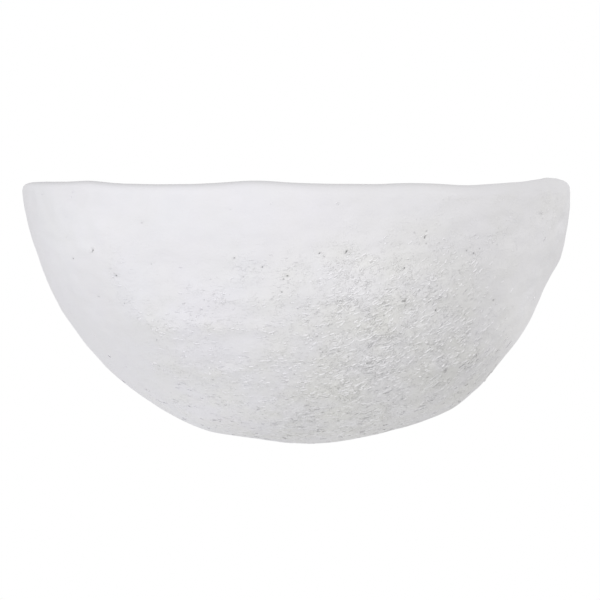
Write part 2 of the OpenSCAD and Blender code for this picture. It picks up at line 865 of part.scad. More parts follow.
module holder_cap() {
    shoulder_z = neck_height + 9;
    color("white")
    on_arm()
        difference() {
            rotate_extrude()
                polygon([
                    [nipple_r + 0.05, 0],
                    [neck_r - 0.6, 0],
                    [neck_r, 0.6],
                    [neck_r, neck_height],
                    [cap_r - 6, shoulder_z - 7.5],
                    [cap_r - 1.8, shoulder_z - 4],
                    [cap_r, shoulder_z],
                    [cap_r, cap_height],
                    [cap_r - holder_wall, cap_height],
                    [cap_r - holder_wall, insert_z],
                    [cap_r - holder_wall - 1, insert_z],
                    [cap_r - holder_wall - 1, shoulder_z],
                    [cap_r - holder_wall - 3, shoulder_z - 3],
                    [cap_r - holder_wall - 6, shoulder_z - 5.5],
                    [nipple_r + 0.05, shoulder_z - 6],
                ]);
            translate([0, 0, neck_height / 2]) rotate([0, 90, 0])
                cylinder(r = M3[0] + 0.05, h = neck_r + 1);
        }
}

module grub_screw() {
    color("silver")
    on_arm() translate([nipple_r, 0, neck_height / 2]) rotate([0, 90, 0])
        difference() {
            cylinder(r = M3[0], h = neck_r - nipple_r);
            translate([-M3[1], -screw_slot / 2, neck_r - nipple_r - 1])
                cube([2 * M3[1], screw_slot, 2]);
        }
}

module holder_insert() {
    color("ivory")
    on_arm()
        difference() {
            translate([0, 0, insert_z]) cylinder(r = insert_r, h = insert_height);
            for (x = [live_stud_x, neutral_stud_x])
                translate([x, 0, insert_z - 1]) cylinder(r = stud_r + hole_gap, h = insert_height + 2);
        }
}

// Two brass blocks under the insert, each with a stud up through it and a bore for its wire
module holder_terminals() {
    low = insert_z - terminal_size.z;
    color("gold")
    on_arm() {
        difference() {
            union() {
                both_sides()
                    translate([terminal_x - terminal_size.x / 2, -terminal_size.y / 2, low])
                        cube(terminal_size);
                for (x = [live_stud_x, neutral_stud_x])
                    translate([x, 0, insert_z - 1]) cylinder(r = stud_r, h = insert_height + 1);
            }
            both_sides() {
                translate([0, 0, terminal_bore_z]) rotate([0, 90, 0])
                    cylinder(r = wire_diameter / 2 + 0.15, h = terminal_x + terminal_size.x / 2 - 1);
                translate([terminal_x, 0, low - 1])
                    cylinder(r = clamp_screw_r, h = terminal_bore_z - low + 1);
            }
        }
    }
}

module holder_screws() {
    head_height = 1.4;
    reach = terminal_bore_z - wire_diameter / 2 - insert_z + terminal_size.z;
    color("silver")
    on_arm() both_sides()
        translate([terminal_x, 0, insert_z - terminal_size.z])
            difference() {
                union() {
                    cylinder(r = clamp_screw_r - 0.05, h = reach);
                    translate([0, 0, -head_height]) cylinder(r = clamp_head_r, h = head_height);
                }
                translate([-2 * clamp_head_r, -screw_slot / 2, -head_height - 1])
                    cube([4 * clamp_head_r, screw_slot, 1 + head_height / 2]);
            }
}

// A sprung strip riveted to the insert, folded back to meet the lamp's contact
module centre_contact() {
    pad_x = 4;
    top = contact_z;
    base = insert_top;
    color("goldenrod")
    on_arm() translate([0, contact_width / 2, 0]) rotate([90, 0, 0])
        linear_extrude(height = contact_width)
            polygon([
                [-contact_base_x, base],
                [-contact_base_x, base + contact_strip],
                [2.4, base + contact_strip],
                [4.4, base + 2],
                [-pad_x - 1.2, top - 2],
                [-pad_x, top],
                [pad_x, top],
                [pad_x, top - contact_strip],
                [-pad_x + 0.6, top - contact_strip],
                [-pad_x, top - 1.9],
                [5.4, base + 2],
                [3, base],
            ]);
}

module screw_shell() {
    low = insert_top;
    high = insert_top + shell_height;
    levels = thread_levels(low + 1.2, high - 1);
    grip = shell_r + wave;
    color("gold")
    on_arm()
        rolled_thread(concat(
            [[grip + thread_sheet, low, 0]],
            [for (z = levels) [shell_r + thread_sheet, z, wave]],
            [[grip + thread_sheet, high, 0], [grip, high, 0]],
            [for (i = [len(levels) - 1:-1:0]) [shell_r, levels[i], wave]],
            [[grip, low + thread_sheet, 0], [shell_flange_r, low + thread_sheet, 0]],
            [[shell_flange_r, low, 0]]
        ));
}

module holder_skirt() {
    color("white")
    on_arm()
        rotate_extrude()
            polygon([
                [skirt_r - holder_wall, skirt_start],
                [skirt_r - 0.6, skirt_start],
                [skirt_r, skirt_start + 0.6],
                [skirt_r, insert_top + 2],
                [skirt_r - 2, insert_top + 4],
                [skirt_r - 2.4, holder_height - 1],
                [skirt_r - 3.4, holder_height],
                [shell_grip_r + 0.4, holder_height],
                [shell_grip_r, holder_height - 1],
                [shell_grip_r, insert_top],
                [skirt_r - holder_wall, insert_top],
            ]);
}

// ---- lamp ----

module lamp_contact() {
    color("silver")
    on_arm() translate([0, 0, contact_z])
        rotate_extrude()
            polygon([
                [0, 0],
                [contact_r - 1.6, 0],
                [contact_r, contact_height / 2],
                [contact_r, contact_height],
                [0, contact_height],
            ]);
}

module lamp_insulator() {
    seat_r = thread_crest_r - thread_depth - thread_sheet - 0.3;
    seat_height = 1.6;
    color("dimgray")
    on_arm() translate([0, 0, contact_z])
        rotate_extrude()
            polygon([
                [0, contact_height],
                [contact_r + 0.4, contact_height],
                [contact_r + 1.4, contact_height + 0.8],
                [seat_r, insulator_height + 0.1],
                [seat_r, insulator_height + 0.1 + seat_height],
                [0, insulator_height + 0.1 + seat_height],
            ]);
}

module lamp_cap() {
    middle = thread_crest_r - wave;
    levels = thread_levels(lamp_cap_start + 0.8, lamp_thread_end);
    root = middle - wave;
    color("silver")
    on_arm()
        rolled_thread(concat(
            [[root - thread_sheet, lamp_cap_start, 0], [root, lamp_cap_start, 0]],
            [for (z = levels) [middle, z, wave]],
            [[thread_crest_r, lamp_thread_end + 1.2, 0], [thread_crest_r, lamp_cap_end, 0]],
            [[thread_crest_r - thread_sheet, lamp_cap_end, 0]],
            [[thread_crest_r - thread_sheet, lamp_thread_end + 1.2, 0]],
            [for (i = [len(levels) - 1:-1:0]) [middle - thread_sheet, levels[i], wave]]
        ));
}

// The lamp's plastic body: a spigot inside the cap, then a flared shell up to the globe
module lamp_housing() {
    spigot_r = thread_crest_r - thread_sheet - 0.3;
    color("white")
    on_arm()
        rotate_extrude()
            polygon([
                [spigot_r - housing_wall, housing_start - 2],
                [spigot_r, housing_start - 2],
                [spigot_r, lamp_cap_end],
                [thread_crest_r + 0.9, lamp_cap_end],
                [thread_crest_r + 1.6, lamp_cap_end + 1.5],
                [globe_edge_r - 1.5, housing_end - 5],
                [globe_edge_r, housing_end - 1],
                [globe_edge_r, housing_end],
                [board_r - 1.5, housing_end],
                [board_r - 1.5, housing_end - board_height - 3],
                [thread_crest_r - 0.5, lamp_cap_end + 2],
                [spigot_r - housing_wall, lamp_cap_end],
            ]);
}

module lamp_globe() {
    color("white")
    on_arm() translate([0, 0, globe_z])
        difference() {
            sphere(r = globe_r);
            sphere(r = globe_r - globe_wall);
            translate([0, 0, globe_cut - globe_diameter])
                cylinder(r = globe_diameter, h = globe_diameter);
        }
}

module led_board() {
    color("whitesmoke")
    on_arm() translate([0, 0, housing_end]) cylinder(r = board_r, h = board_height);
}

module led_chips() {
    ring_r = board_r * 0.62;
    color("khaki")
    on_arm() translate([0, 0, housing_end + board_height])
        for (i = [0:chip_count - 1])
            rotate([0, 0, 360 * i / chip_count])
                translate([ring_r - chip_size / 2, -chip_size / 2, 0])
                    cube([chip_size, chip_size, chip_height]);
}

module driver_board() {
    color("seagreen")
    on_arm() translate([-driver_width / 2, -driver_sheet / 2, driver_start])
        cube([driver_width, driver_sheet, housing_end - driver_start]);
}

shade_bowl();
hanger_strap();
strap_screws();
strap_washers();
wall_plate();
cable_grommet();
lamp_arm();
arm_screws();
arm_nuts();
terminal_block();
terminal_tubes();
terminal_screws();
block_screw();
block_nut();
earth_tag();
earth_screw();
earth_nut();
live_wire();
neutral_wire();
earth_wire();
wire_tie();
nipple();
nipple_washer();
nipple_nut();
holder_cap();
grub_screw();
holder_insert();
holder_terminals();
holder_screws();
centre_contact();
screw_shell();
holder_skirt();
lamp_contact();
lamp_insulator();
lamp_cap();
lamp_housing();
lamp_globe();
led_board();
led_chips();
driver_board();
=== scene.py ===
"""Looks of the uplighter wall sconce: a hand-formed white pulp half bowl, the steel plate and hanger
behind it, and the upright screw lamp inside it.

Metres, +Z up, +X right, the wall at y = 0 and the room towards -Y. Sizes in the tables of the bowl,
the wires and the threads are in millimetres, as they are in the part's source.
"""

import math

import bpy
import numpy as np
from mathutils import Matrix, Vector, noise


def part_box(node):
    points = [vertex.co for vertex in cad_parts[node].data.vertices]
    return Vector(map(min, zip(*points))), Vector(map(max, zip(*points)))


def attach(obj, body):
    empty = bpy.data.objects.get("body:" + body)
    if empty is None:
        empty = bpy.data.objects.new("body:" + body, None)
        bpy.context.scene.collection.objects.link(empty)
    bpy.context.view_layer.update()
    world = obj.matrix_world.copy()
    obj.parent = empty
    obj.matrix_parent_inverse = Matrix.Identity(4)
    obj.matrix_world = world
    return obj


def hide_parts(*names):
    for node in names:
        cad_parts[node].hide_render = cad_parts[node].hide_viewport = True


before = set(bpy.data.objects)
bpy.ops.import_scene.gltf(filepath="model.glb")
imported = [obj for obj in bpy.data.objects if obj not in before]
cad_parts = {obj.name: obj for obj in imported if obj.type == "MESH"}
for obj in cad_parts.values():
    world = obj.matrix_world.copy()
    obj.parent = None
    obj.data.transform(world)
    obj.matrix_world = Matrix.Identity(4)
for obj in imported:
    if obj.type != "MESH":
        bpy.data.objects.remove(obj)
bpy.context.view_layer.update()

MM = 0.001

# ---- driving sizes, in millimetres ----

BOWL_WIDTH = 400
BOWL_DEPTH = 180
BOWL_HEIGHT = 189
RIM_HEIGHT = 60
PULP_WALL = 11
LIP_LEFT = 6
LIP_RIGHT = 10
SEAT_X = 170
LIP_SQUARE = 0.3
BACK_GAP = 1

# Angle around the rim from the right corner, angle down from the rim, height, spread along the
# outline and spread forward of each bump and dent
HAND_BUMPS = (
    (0, 55, 4.4, 0.13, 0.5), (0, 62, 2.8, 0.31, 0.6),
    (0, 23, -3.4, 0.09, 0.3), (0, 16, 1.4, 0.05, 0.16),
    (180, 14, -2.4, 0.12, 0.35), (180, 31, -3.7, 0.26, 0.5),
    (180, 70, 1.9, 0.09, 0.35), (180, 81, -1.5, 0.09, 0.35),
    (134, 11, 1.2, 0.12, 0.14), (127, 28, 2, 0.12, 0.14),
    (115, 33, 2, 0.12, 0.14), (97, 33, 1.6, 0.12, 0.14),
    (60, 20, -1.6, 0.2, 0.2), (70, 58, -1.4, 0.16, 0.2),
)

# Angle around the rim from the right corner, height and spread in degrees of each rise of the rim
RIM_RISES = (
    (0, 2, 8), (20, 4.4, 12), (53, -0.9, 4), (66, 0.7, 4),
    (97.5, 2.2, 5.5), (137, 1.3, 4.5), (150, 1.6, 14), (172, 1.1, 10),
)

# The lamp's upright axis and the top of its arm, and the rolled thread of the shell and the lamp
LAMP_AXIS = (0, -75)
ARM_TOP = -60
THREAD_PITCH = 3.629
THREAD_WAVE = 0.525
THREAD_SHEET = 0.45
THREAD_SIDES = 96
THREAD_STEPS = 24
SHELL_RADIUS = 12.925
SHELL_FLANGE_RADIUS = 10.3
SHELL_LOW = 30
SHELL_THREAD_LOW = 31.2
SHELL_THREAD_HIGH = 52
SHELL_HIGH = 53
CAP_CREST_RADIUS = 13.1
CAP_LOW = 40.5
CAP_THREAD_LOW = 41.3
CAP_THREAD_HIGH = 55
CAP_COLLAR = 56.2
CAP_HIGH = 60.5

# Wires from the terminal block to the lamp holder, and from the block to the earth tag
WIRE_DIAMETER = 2.2
WIRE_SIDES = 16
WIRE_RINGS = 6
LIVE_ROUTE = (
    (27, -17.5, -12), (27, -17.5, -24), (26, -18, -38), (20.5, -21, -52), (15.8, -26, -62),
    (9, -33, -66.4), (1, -41, -64.4), (-1.4, -49, -63.4), (-1.4, -55, -64), (-1.4, -59.5, -69),
    (-1.4, -63.5, -75), (-1.4, -69, -78.6), (-1.4, -73.8, -76), (-1.4, -75, -69), (-1.4, -75, -58),
    (-1.4, -75, -50), (-2.3, -75, -45.2), (-5.4, -75, -43), (-9.6, -75, -43),
)
NEUTRAL_ROUTE = (
    (38, -17.5, -12), (38, -17.5, -24), (36, -18.5, -38), (28.5, -24, -53), (20, -32, -64.5),
    (11.5, -39, -66.6), (4, -44.6, -64.4), (1.4, -50, -63.4), (1.4, -55, -64), (1.4, -59.5, -69),
    (1.4, -63.5, -75), (1.4, -69, -78.6), (1.4, -73.8, -76), (1.4, -75, -69), (1.4, -75, -58),
    (1.4, -75, -50), (2.3, -75, -45.2), (5.4, -75, -43), (9.6, -75, -43),
)
EARTH_ROUTE = (
    (49, -17.5, -12), (49, -17.5, -19), (51, -16.6, -25.5), (55, -13.6, -30.5), (57, -11.6, -36),
    (57, -11.6, -41),
)

# Spacing of the mesh points on the outside, on the inside and across the lip and the back edges
OUTER_STEP = 1.2
INNER_STEP = 3.4
EDGE_STEPS = 10

# The camera as in the photograph: its pixels across and to a metre at the wall, its distance in
# metres, the width of the sensor in millimetres, and where it aims
PHOTO_SIDE = 600
PIXELS_PER_METRE = 1364
CAMERA_DISTANCE = 2.0
SENSOR = 36
AIM = Vector((0.00293, 0, -0.025))


# ---- shared shader work ----


def fill(tree, node, inputs):
    """Puts a value or another node's output in each of a node's inputs."""
    for name, value in inputs.items():
        if isinstance(value, bpy.types.NodeSocket):
            tree.links.new(value, node.inputs[name])
        else:
            node.inputs[name].default_value = value


def add(tree, kind, inputs=None, **settings):
    """A shader node with its settings and its filled inputs."""
    made = tree.nodes.new("ShaderNode" + kind)
    for name, value in settings.items():
        setattr(made, name, value)
    fill(tree, made, inputs or {})
    return made


def maths(tree, operation, *values, clamp=False):
    """The output of a Math node."""
    return add(tree, "Math", dict(enumerate(values)), operation=operation, use_clamp=clamp).outputs[0]


def times(tree, first, second, clamp=False):
    """Two values multiplied."""
    return maths(tree, "MULTIPLY", first, second, clamp=clamp)


def plus(tree, first, second, clamp=False):
    """Two values added."""
    return maths(tree, "ADD", first, second, clamp=clamp)


def kept_value(tree, name):
    """A value that the mesh keeps at each of its points."""
    return add(tree, "Attribute", attribute_name=name).outputs["Fac"]


def stretched(tree, place, scale, turn=(0, 0, 0)):
    """A place turned and then scaled along each axis."""
    turned = add(tree, "Mapping", {"Vector": place, "Rotation": turn})
    return add(tree, "VectorMath", {0: turned.outputs[0], 1: scale}, operation="MULTIPLY").outputs[0]


def clouds(tree, place, scale, detail, roughness):
    """The value of a noise texture."""
    return add(tree, "TexNoise", {"Vector": place, "Scale": scale, "Detail": detail,
                                  "Roughness": roughness}).outputs[0]


def spread(tree, value, low, high, to_low=0.0, to_high=1.0):
    """A value's range from low to high, spread smoothly over another range."""
    made = add(tree, "MapRange", {"Value": value, "From Min": low, "From Max": high, "To Min": to_low,
                                  "To Max": to_high}, interpolation_type="SMOOTHSTEP")
    return made.outputs[0]


def blend_colours(tree, share, first, second):
    """Two colours mixed by a share."""
    first, second = ((*colour, 1) if isinstance(colour, tuple) else colour for colour in (first, second))
    return add(tree, "Mix", {"Factor": share, 6: first, 7: second}, data_type="RGBA").outputs[2]


def effect(name, inputs, *outputs):
    """A shader node group, with its given values and the node that takes its results."""
    tree = bpy.data.node_groups.new(name, "ShaderNodeTree")
    for label, value in inputs.items():
        kind = "NodeSocketColor" if np.size(value) == 4 else "NodeSocketFloat"
        tree.interface.new_socket(label, in_out="INPUT", socket_type=kind).default_value = value
    for label in outputs:
        kind = "NodeSocketColor" if label == "Color" else "NodeSocketFloat"
        tree.interface.new_socket(label, in_out="OUTPUT", socket_type=kind)
    given = tree.nodes.new("NodeGroupInput").outputs
    return tree, given, tree.nodes.new("NodeGroupOutput")


def place_in_mm(tree):
    """The place on the piece, in millimetres."""
    place = add(tree, "TexCoord").outputs["Object"]
    return add(tree, "VectorMath", {0: place, 3: 1 / MM}, operation="SCALE").outputs[0]


def use(tree, group, **inputs):
    """One use of an effect, with its own values."""
    values = {name.replace("_", " "): value for name, value in inputs.items()}
    return add(tree, "Group", values, node_tree=group).outputs


def make_mottle():
    """Two tones of one finish, drifting over the surface."""
    tree, given, result = effect("mottle", {
        "Light tone": (0.8, 0.8, 0.8, 1), "Dark tone": (0.7, 0.7, 0.7, 1), "Size": 20.0, "Contrast": 0.5,
    }, "Color", "Mask")
    cloud = clouds(tree, place_in_mm(tree), maths(tree, "DIVIDE", 1.0, given["Size"]), 4.0, 0.55)
    half = times(tree, given["Contrast"], 0.5)
    low = maths(tree, "SUBTRACT", 0.5, half)
    high = plus(tree, 0.5, half)
    mask = add(tree, "MapRange", {"Value": cloud, "From Min": low, "From Max": high}).outputs[0]
    tone = blend_colours(tree, mask, given["Dark tone"], given["Light tone"])
    fill(tree, result, {"Color": tone, "Mask": mask})
    return tree


def make_dragged_fibres():
    """Short raised fibres, drawn out one way by the hand and broken up along their length."""
    tree, given, result = effect("dragged_fibres", {
        "Lean": 0.0, "Length": 8.0, "Width": 2.0, "Low": 0.5, "High": 0.7,
    }, "Height")
    place = place_in_mm(tree)
    turn = add(tree, "CombineXYZ", {"Y": given["Lean"]}).outputs[0]
    along = maths(tree, "DIVIDE", 1.0, given["Length"])
    across = maths(tree, "DIVIDE", 1.0, given["Width"])
    scale = add(tree, "CombineXYZ", {"X": along, "Y": along, "Z": across}).outputs[0]
    wander = add(tree, "TexNoise", {"Vector": place, "Scale": 0.11, "Detail": 1.0}).outputs[1]
    bent = add(tree, "VectorMath", {0: wander, 1: (3.0, 3.0, 3.0), 2: place},
               operation="MULTIPLY_ADD").outputs[0]
    cloud = clouds(tree, stretched(tree, bent, scale, turn), 1.0, 2.0, 0.6)
    ridge = spread(tree, cloud, given["Low"], given["High"])
    tufts = spread(tree, clouds(tree, place, 0.12, 2.0, 0.6), 0.38, 0.6, 0.3, 1.0)
    fill(tree, result, {"Height": times(tree, ridge, tufts)})
    return tree


def make_tooth():
    """The fine tooth of a dry or moulded surface."""
    tree, given, result = effect("tooth", {"Size": 1.0, "Roughness": 0.6}, "Height")
    scale = maths(tree, "DIVIDE", 1.0, given["Size"])
    fill(tree, result, {"Height": clouds(tree, place_in_mm(tree), scale, 3.0, given["Roughness"])})
    return tree


def make_specks():
    """Sparse round specks of mixed sizes, each a soft dome."""
    tree, given, result = effect("specks", {"Spacing": 4.0, "Reach": 0.2, "Share": 0.3}, "Height")
    scale = maths(tree, "DIVIDE", 1.0, given["Spacing"])
    cells = add(tree, "TexVoronoi", {"Vector": place_in_mm(tree), "Scale": scale})
    dome = maths(tree, "SUBTRACT", 1.0, maths(tree, "DIVIDE", cells.outputs["Distance"], given["Reach"]),
                 clamp=True)
    chance = add(tree, "SeparateXYZ", {0: cells.outputs["Color"]}).outputs["X"]
    kept = maths(tree, "LESS_THAN", chance, given["Share"])
    fill(tree, result, {"Height": times(tree, dome, kept)})
    return tree


def make_rubbed():
    """Fine lines rubbed one way over a metal."""
    tree, given, result = effect("rubbed", {"Spacing": 0.3, "Run": 12.0}, "Height", "Mask")
    across = maths(tree, "DIVIDE", 1.0, given["Spacing"])
    along = maths(tree, "DIVIDE", 1.0, given["Run"])
    scale = add(tree, "CombineXYZ", {"X": along, "Y": across, "Z": across}).outputs[0]
    lines = clouds(tree, stretched(tree, place_in_mm(tree), scale), 1.0, 3.0, 0.6)
    fill(tree, result, {"Height": lines, "Mask": spread(tree, lines, 0.35, 0.65)})
    return tree


MOTTLE = make_mottle()
FIBRES = make_dragged_fibres()
TOOTH = make_tooth()
SPECKS = make_specks()
RUBBED = make_rubbed()


def material(name):
    """A material with its tree, its Principled shader and nothing else."""
    made = bpy.data.materials.new(name)
    made.use_nodes = True
    tree = made.node_tree
    tree.nodes.clear()
    shader = add(tree, "BsdfPrincipled")
    add(tree, "OutputMaterial", {"Surface": shader.outputs[0]})
    return made, tree, shader


def raised(tree, height, depth_mm):
    """The normal of a surface raised by a height, which is a share of a depth in millimetres."""
    return add(tree, "Bump", {"Height": height, "Distance": depth_mm * MM, "Strength": 1.0}).outputs[0]


# ---- finishes ----


def two_tones(tree, light, dark, size, contrast):
    """The mottle of two tones: its colour and its mask."""
    return use(tree, MOTTLE, Light_tone=(*light, 1), Dark_tone=(*dark, 1), Size=size, Contrast=contrast)


# Fine fibres of the pulp's finish, flat, rising and steep ones and sunk scratches: lean, length,
# width, and the height that they start from
FINE_FIBRES = (
    (8, 4.4, 1.0, 0.53),
    (24, 3.8, 0.9, 0.53),
    (48, 2.8, 0.85, 0.56),
    (18, 3.2, 0.8, 0.59),
)
FINE_FIBRE_CREST = 0.68

# Depth of the finish in millimetres, and how far each part of it rises or sinks, as a share of that
PULP_DEPTH = 0.56
FIBRES_RISE = 0.75
CRUMBS_RISE = 0.28
SPECKS_RISE = 0.3
SCRATCHES_SINK = 0.7
HOLES_SINK = 0.8
TOOTH_RISE = 0.06

# Light and dark tone of the pulp at the left and at the right, and of the small drift over both
COOL_WHITE = (0.815, 0.802, 0.856), (0.80, 0.802, 0.84)
PLAIN_WHITE = (0.815, 0.808, 0.828), (0.80, 0.794, 0.80)
DRIFT_WHITE = (0.825, 0.82, 0.84), (0.785, 0.78, 0.8)
WARM_WHITE = (0.80, 0.797, 0.765)
# Painted highlight: the white that the crests of raised fibres and the fibre pieces are lightened towards
HIGHLIGHT_WHITE = (0.97, 0.97, 0.975)
# Painted shade: the dark colour that the sunk scratches and holes of coarse pulp are blended towards
SUNK_SHADE_GREY = (0.4, 0.4, 0.4)
# Painted shade: the dark colour of the thin shaded line along the crest of the lip
LIP_SHADE_GREY = (0.42, 0.42, 0.42)
# Painted shade: the near black of the shade inside the pinholes and slits
PIT_SHADE_COLOUR = (0.04, 0.04, 0.045)

# How white the pulp is as a whole, and how much of that a patch of painted shade and uneven tone takes
WHITENESS = 0.985
SHADE_TONE_STRENGTH = 0.06


def pulp_height(tree, coarse, right):
    """The finish's height, and its fibres, scratches, specks and holes, which the colour follows."""
    flat, rising, steep, scratches = (
        use(tree, FIBRES, Lean=math.radians(lean), Length=length, Width=width, Low=low,
            High=FINE_FIBRE_CREST)["Height"]
        for lean, length, width, low in FINE_FIBRES
    )
    left = maths(tree, "SUBTRACT", 1.0, right)
    fibres = plus(tree, times(tree, flat, left), times(tree, plus(tree, rising, steep), right))
    crumbs = spread(tree, use(tree, TOOTH, Size=1.5, Roughness=0.7)["Height"], 0.5, 0.68)
    specks = use(tree, SPECKS, Spacing=3.2, Reach=0.24, Share=0.3)["Height"]
    holes = use(tree, SPECKS, Spacing=4.6, Reach=0.14, Share=0.3)["Height"]
    fine = use(tree, TOOTH, Size=0.8, Roughness=0.5)["Height"]
    raised = plus(tree, times(tree, fibres, FIBRES_RISE),
                  plus(tree, times(tree, crumbs, CRUMBS_RISE), times(tree, specks, SPECKS_RISE)))
    sunk = plus(tree, times(tree, scratches, SCRATCHES_SINK), times(tree, holes, HOLES_SINK))
    height = times(tree, maths(tree, "SUBTRACT", raised, sunk), coarse)
    return plus(tree, height, times(tree, fine, TOOTH_RISE)), fibres, scratches, specks, holes


def pulp_finish():
    """White pulp pressed on by hand: smooth above and at the left, crumbly and fibrous below."""
    made, tree, shader = material("white_pulp")
    coarse, right, pit, edge, tip, grey = (
        kept_value(tree, name) for name in ("coarse", "lean", "pit", "edge", "tip", "grey")
    )
    height, fibres, scratches, specks, holes = pulp_height(tree, coarse, right)
    cool = two_tones(tree, *COOL_WHITE, 55.0, 0.35)["Color"]
    plain = two_tones(tree, *PLAIN_WHITE, 40.0, 0.35)["Color"]
    drift = two_tones(tree, *DRIFT_WHITE, 12.0, 0.5)["Color"]
    patch = two_tones(tree, (1, 1, 1), (0, 0, 0), 26.0, 0.22)["Mask"]
    tone = blend_colours(tree, times(tree, right, plus(tree, coarse, 0.5), clamp=True), cool, plain)
    tone = blend_colours(tree, 0.4, tone, drift)
    warm = times(tree, patch, plus(tree, times(tree, coarse, 0.5), 0.1))
    tone = blend_colours(tree, warm, tone, WARM_WHITE)
    # Painted shade in the sunk scratches and holes of coarse pulp, where shade falls in them
    sunk = plus(tree, times(tree, scratches, 0.35), holes)
    sunk_shade = times(tree, sunk, times(tree, coarse, 0.06), clamp=True)
    tone = blend_colours(tree, sunk_shade, tone, SUNK_SHADE_GREY)
    # Painted shade and painted light in soft patches, partly the pulp's own uneven tone
    shaded_whiteness = maths(tree, "MULTIPLY_ADD", grey, -SHADE_TONE_STRENGTH, WHITENESS)
    tone = add(tree, "VectorMath", {0: tone, 3: shaded_whiteness}, operation="SCALE").outputs[0]
    # Painted highlight: the crests of raised fibres and specks on coarse pulp, and the fibre pieces, are
    # lightened towards white, more at the right
    raised_tips = spread(tree, plus(tree, fibres, specks), 0.55, 1.0)
    tips = times(tree, raised_tips, times(tree, coarse, 0.8), clamp=True)
    tips = plus(tree, tips, times(tree, tip, 0.5), clamp=True)
    tips = times(tree, tips, plus(tree, times(tree, right, 0.5), 0.5))
    tone = blend_colours(tree, tips, tone, HIGHLIGHT_WHITE)
    # Painted shade along the crest of the lip, as the shaded line where the rim turns away
    tone = blend_colours(tree, times(tree, edge, 0.5), tone, LIP_SHADE_GREY)
    # Painted shade: the pinholes and slits are darkened nearly to black, as the shade inside them
    tone = blend_colours(tree, maths(tree, "POWER", pit, 2.6), tone, PIT_SHADE_COLOUR)
    fill(tree, shader, {"Base Color": tone, "Normal": raised(tree, height, PULP_DEPTH),
                        "Roughness": 0.9, "Specular IOR Level": 0.25})
    return made


def metal_finish(name, light, dark, roughness, spacing=0.3, run=14.0):
    """Plated or drawn metal, with fine lines rubbed one way."""
    made, tree, shader = material(name)
    lines = use(tree, RUBBED, Spacing=spacing, Run=run)
    fill(tree, shader, {
        "Base Color": two_tones(tree, light, dark, 9.0, 0.4)["Color"],
        "Roughness": spread(tree, lines["Mask"], 0.0, 1.0, *roughness),
        "Normal": raised(tree, lines["Height"], 0.02),
        "Metallic": 1.0,
    })
    return made


def moulded_finish(name, light, dark, roughness, tooth=1.0, depth=0.02, coat=0.0, size=14.0, sub=0.0):
    """Plastic, rubber, paint or glaze, with the skin that the mould or the spray leaves."""
    made, tree, shader = material(name)
    tone = two_tones(tree, light, dark, size, 0.5)
    fill(tree, shader, {
        "Base Color": tone["Color"],
        "Roughness": spread(tree, tone["Mask"], 0.0, 1.0, *roughness),
        "Normal": raised(tree, use(tree, TOOTH, Size=tooth, Roughness=0.5)["Height"], depth),
        "Coat Weight": coat,
        "Subsurface Weight": sub,
        "Subsurface Radius": (0.002, 0.002, 0.002),
    })
    return made


def sleeve_finish(name, light, dark, stripe=None):
    """Soft insulation, with a stripe along it or without."""
    made, tree, shader = material(name)
    colour = two_tones(tree, light, dark, 6.0, 0.5)["Color"]
    if stripe:
        wave = maths(tree, "SINE", times(tree, kept_value(tree, "around"), 4 * math.pi))
        band = maths(tree, "GREATER_THAN", wave, 0.0)
        colour = blend_colours(tree, band, colour, stripe)
    skin = use(tree, TOOTH, Size=0.7, Roughness=0.5)["Height"]
    fill(tree, shader, {"Base Color": colour, "Normal": raised(tree, skin, 0.02), "Roughness": 0.42})
    return made


PULP = pulp_finish()
ZINC = metal_finish("zinc_plate", (0.66, 0.67, 0.69), (0.56, 0.57, 0.60), (0.28, 0.42))
SCREW_STEEL = metal_finish("bright_zinc", (0.72, 0.73, 0.75), (0.6, 0.61, 0.64), (0.2, 0.34), 0.2, 6.0)
BRASS = metal_finish("plain_brass", (0.78, 0.58, 0.27), (0.66, 0.46, 0.2), (0.22, 0.36), 0.2, 5.0)
BRONZE = metal_finish("spring_bronze", (0.74, 0.49, 0.27), (0.62, 0.38, 0.2), (0.24, 0.4), 0.2, 6.0)
NICKEL = metal_finish("nickel_plate", (0.74, 0.72, 0.68), (0.64, 0.62, 0.58), (0.14, 0.26), 0.25, 9.0)
POWDER_COAT = moulded_finish("white_powder_coat", (0.82, 0.82, 0.81), (0.79, 0.79, 0.785), (0.38, 0.5),
                             tooth=0.9, depth=0.05, size=40.0)
RUBBER = moulded_finish("black_rubber", (0.03, 0.03, 0.03), (0.02, 0.02, 0.02), (0.6, 0.75), 0.5, 0.03)
NYLON = moulded_finish("milky_nylon", (0.76, 0.76, 0.73), (0.7, 0.7, 0.66), (0.4, 0.52),
                       1.4, 0.02, sub=0.3)
HOLDER_PLASTIC = moulded_finish("holder_white", (0.82, 0.82, 0.8), (0.79, 0.79, 0.765), (0.2, 0.3),
                                2.5, 0.015, coat=0.2)
PORCELAIN = moulded_finish("glazed_porcelain", (0.84, 0.82, 0.77), (0.8, 0.78, 0.72), (0.08, 0.18),
                           5.0, 0.03, coat=0.6)
BLACK_GLASS = moulded_finish("black_glass", (0.012, 0.012, 0.015), (0.02, 0.02, 0.02), (0.08, 0.2),
                             4.0, 0.03, coat=0.4)
LAMP_PLASTIC = moulded_finish("lamp_white", (0.84, 0.84, 0.83), (0.81, 0.81, 0.8), (0.34, 0.44),
                              0.8, 0.02)
OPAL = moulded_finish("opal_globe", (0.88, 0.88, 0.86), (0.86, 0.86, 0.84), (0.3, 0.38),
                      0.7, 0.015, sub=0.6)
BOARD_WHITE = moulded_finish("board_white", (0.8, 0.8, 0.79), (0.75, 0.75, 0.74), (0.3, 0.45), 2.0, 0.02)
PHOSPHOR = moulded_finish("phosphor", (0.8, 0.68, 0.16), (0.72, 0.6, 0.12), (0.4, 0.6), 0.5, 0.02)
BOARD_GREEN = moulded_finish("board_green", (0.03, 0.2, 0.07), (0.02, 0.15, 0.05), (0.25, 0.4),
                             1.5, 0.03)
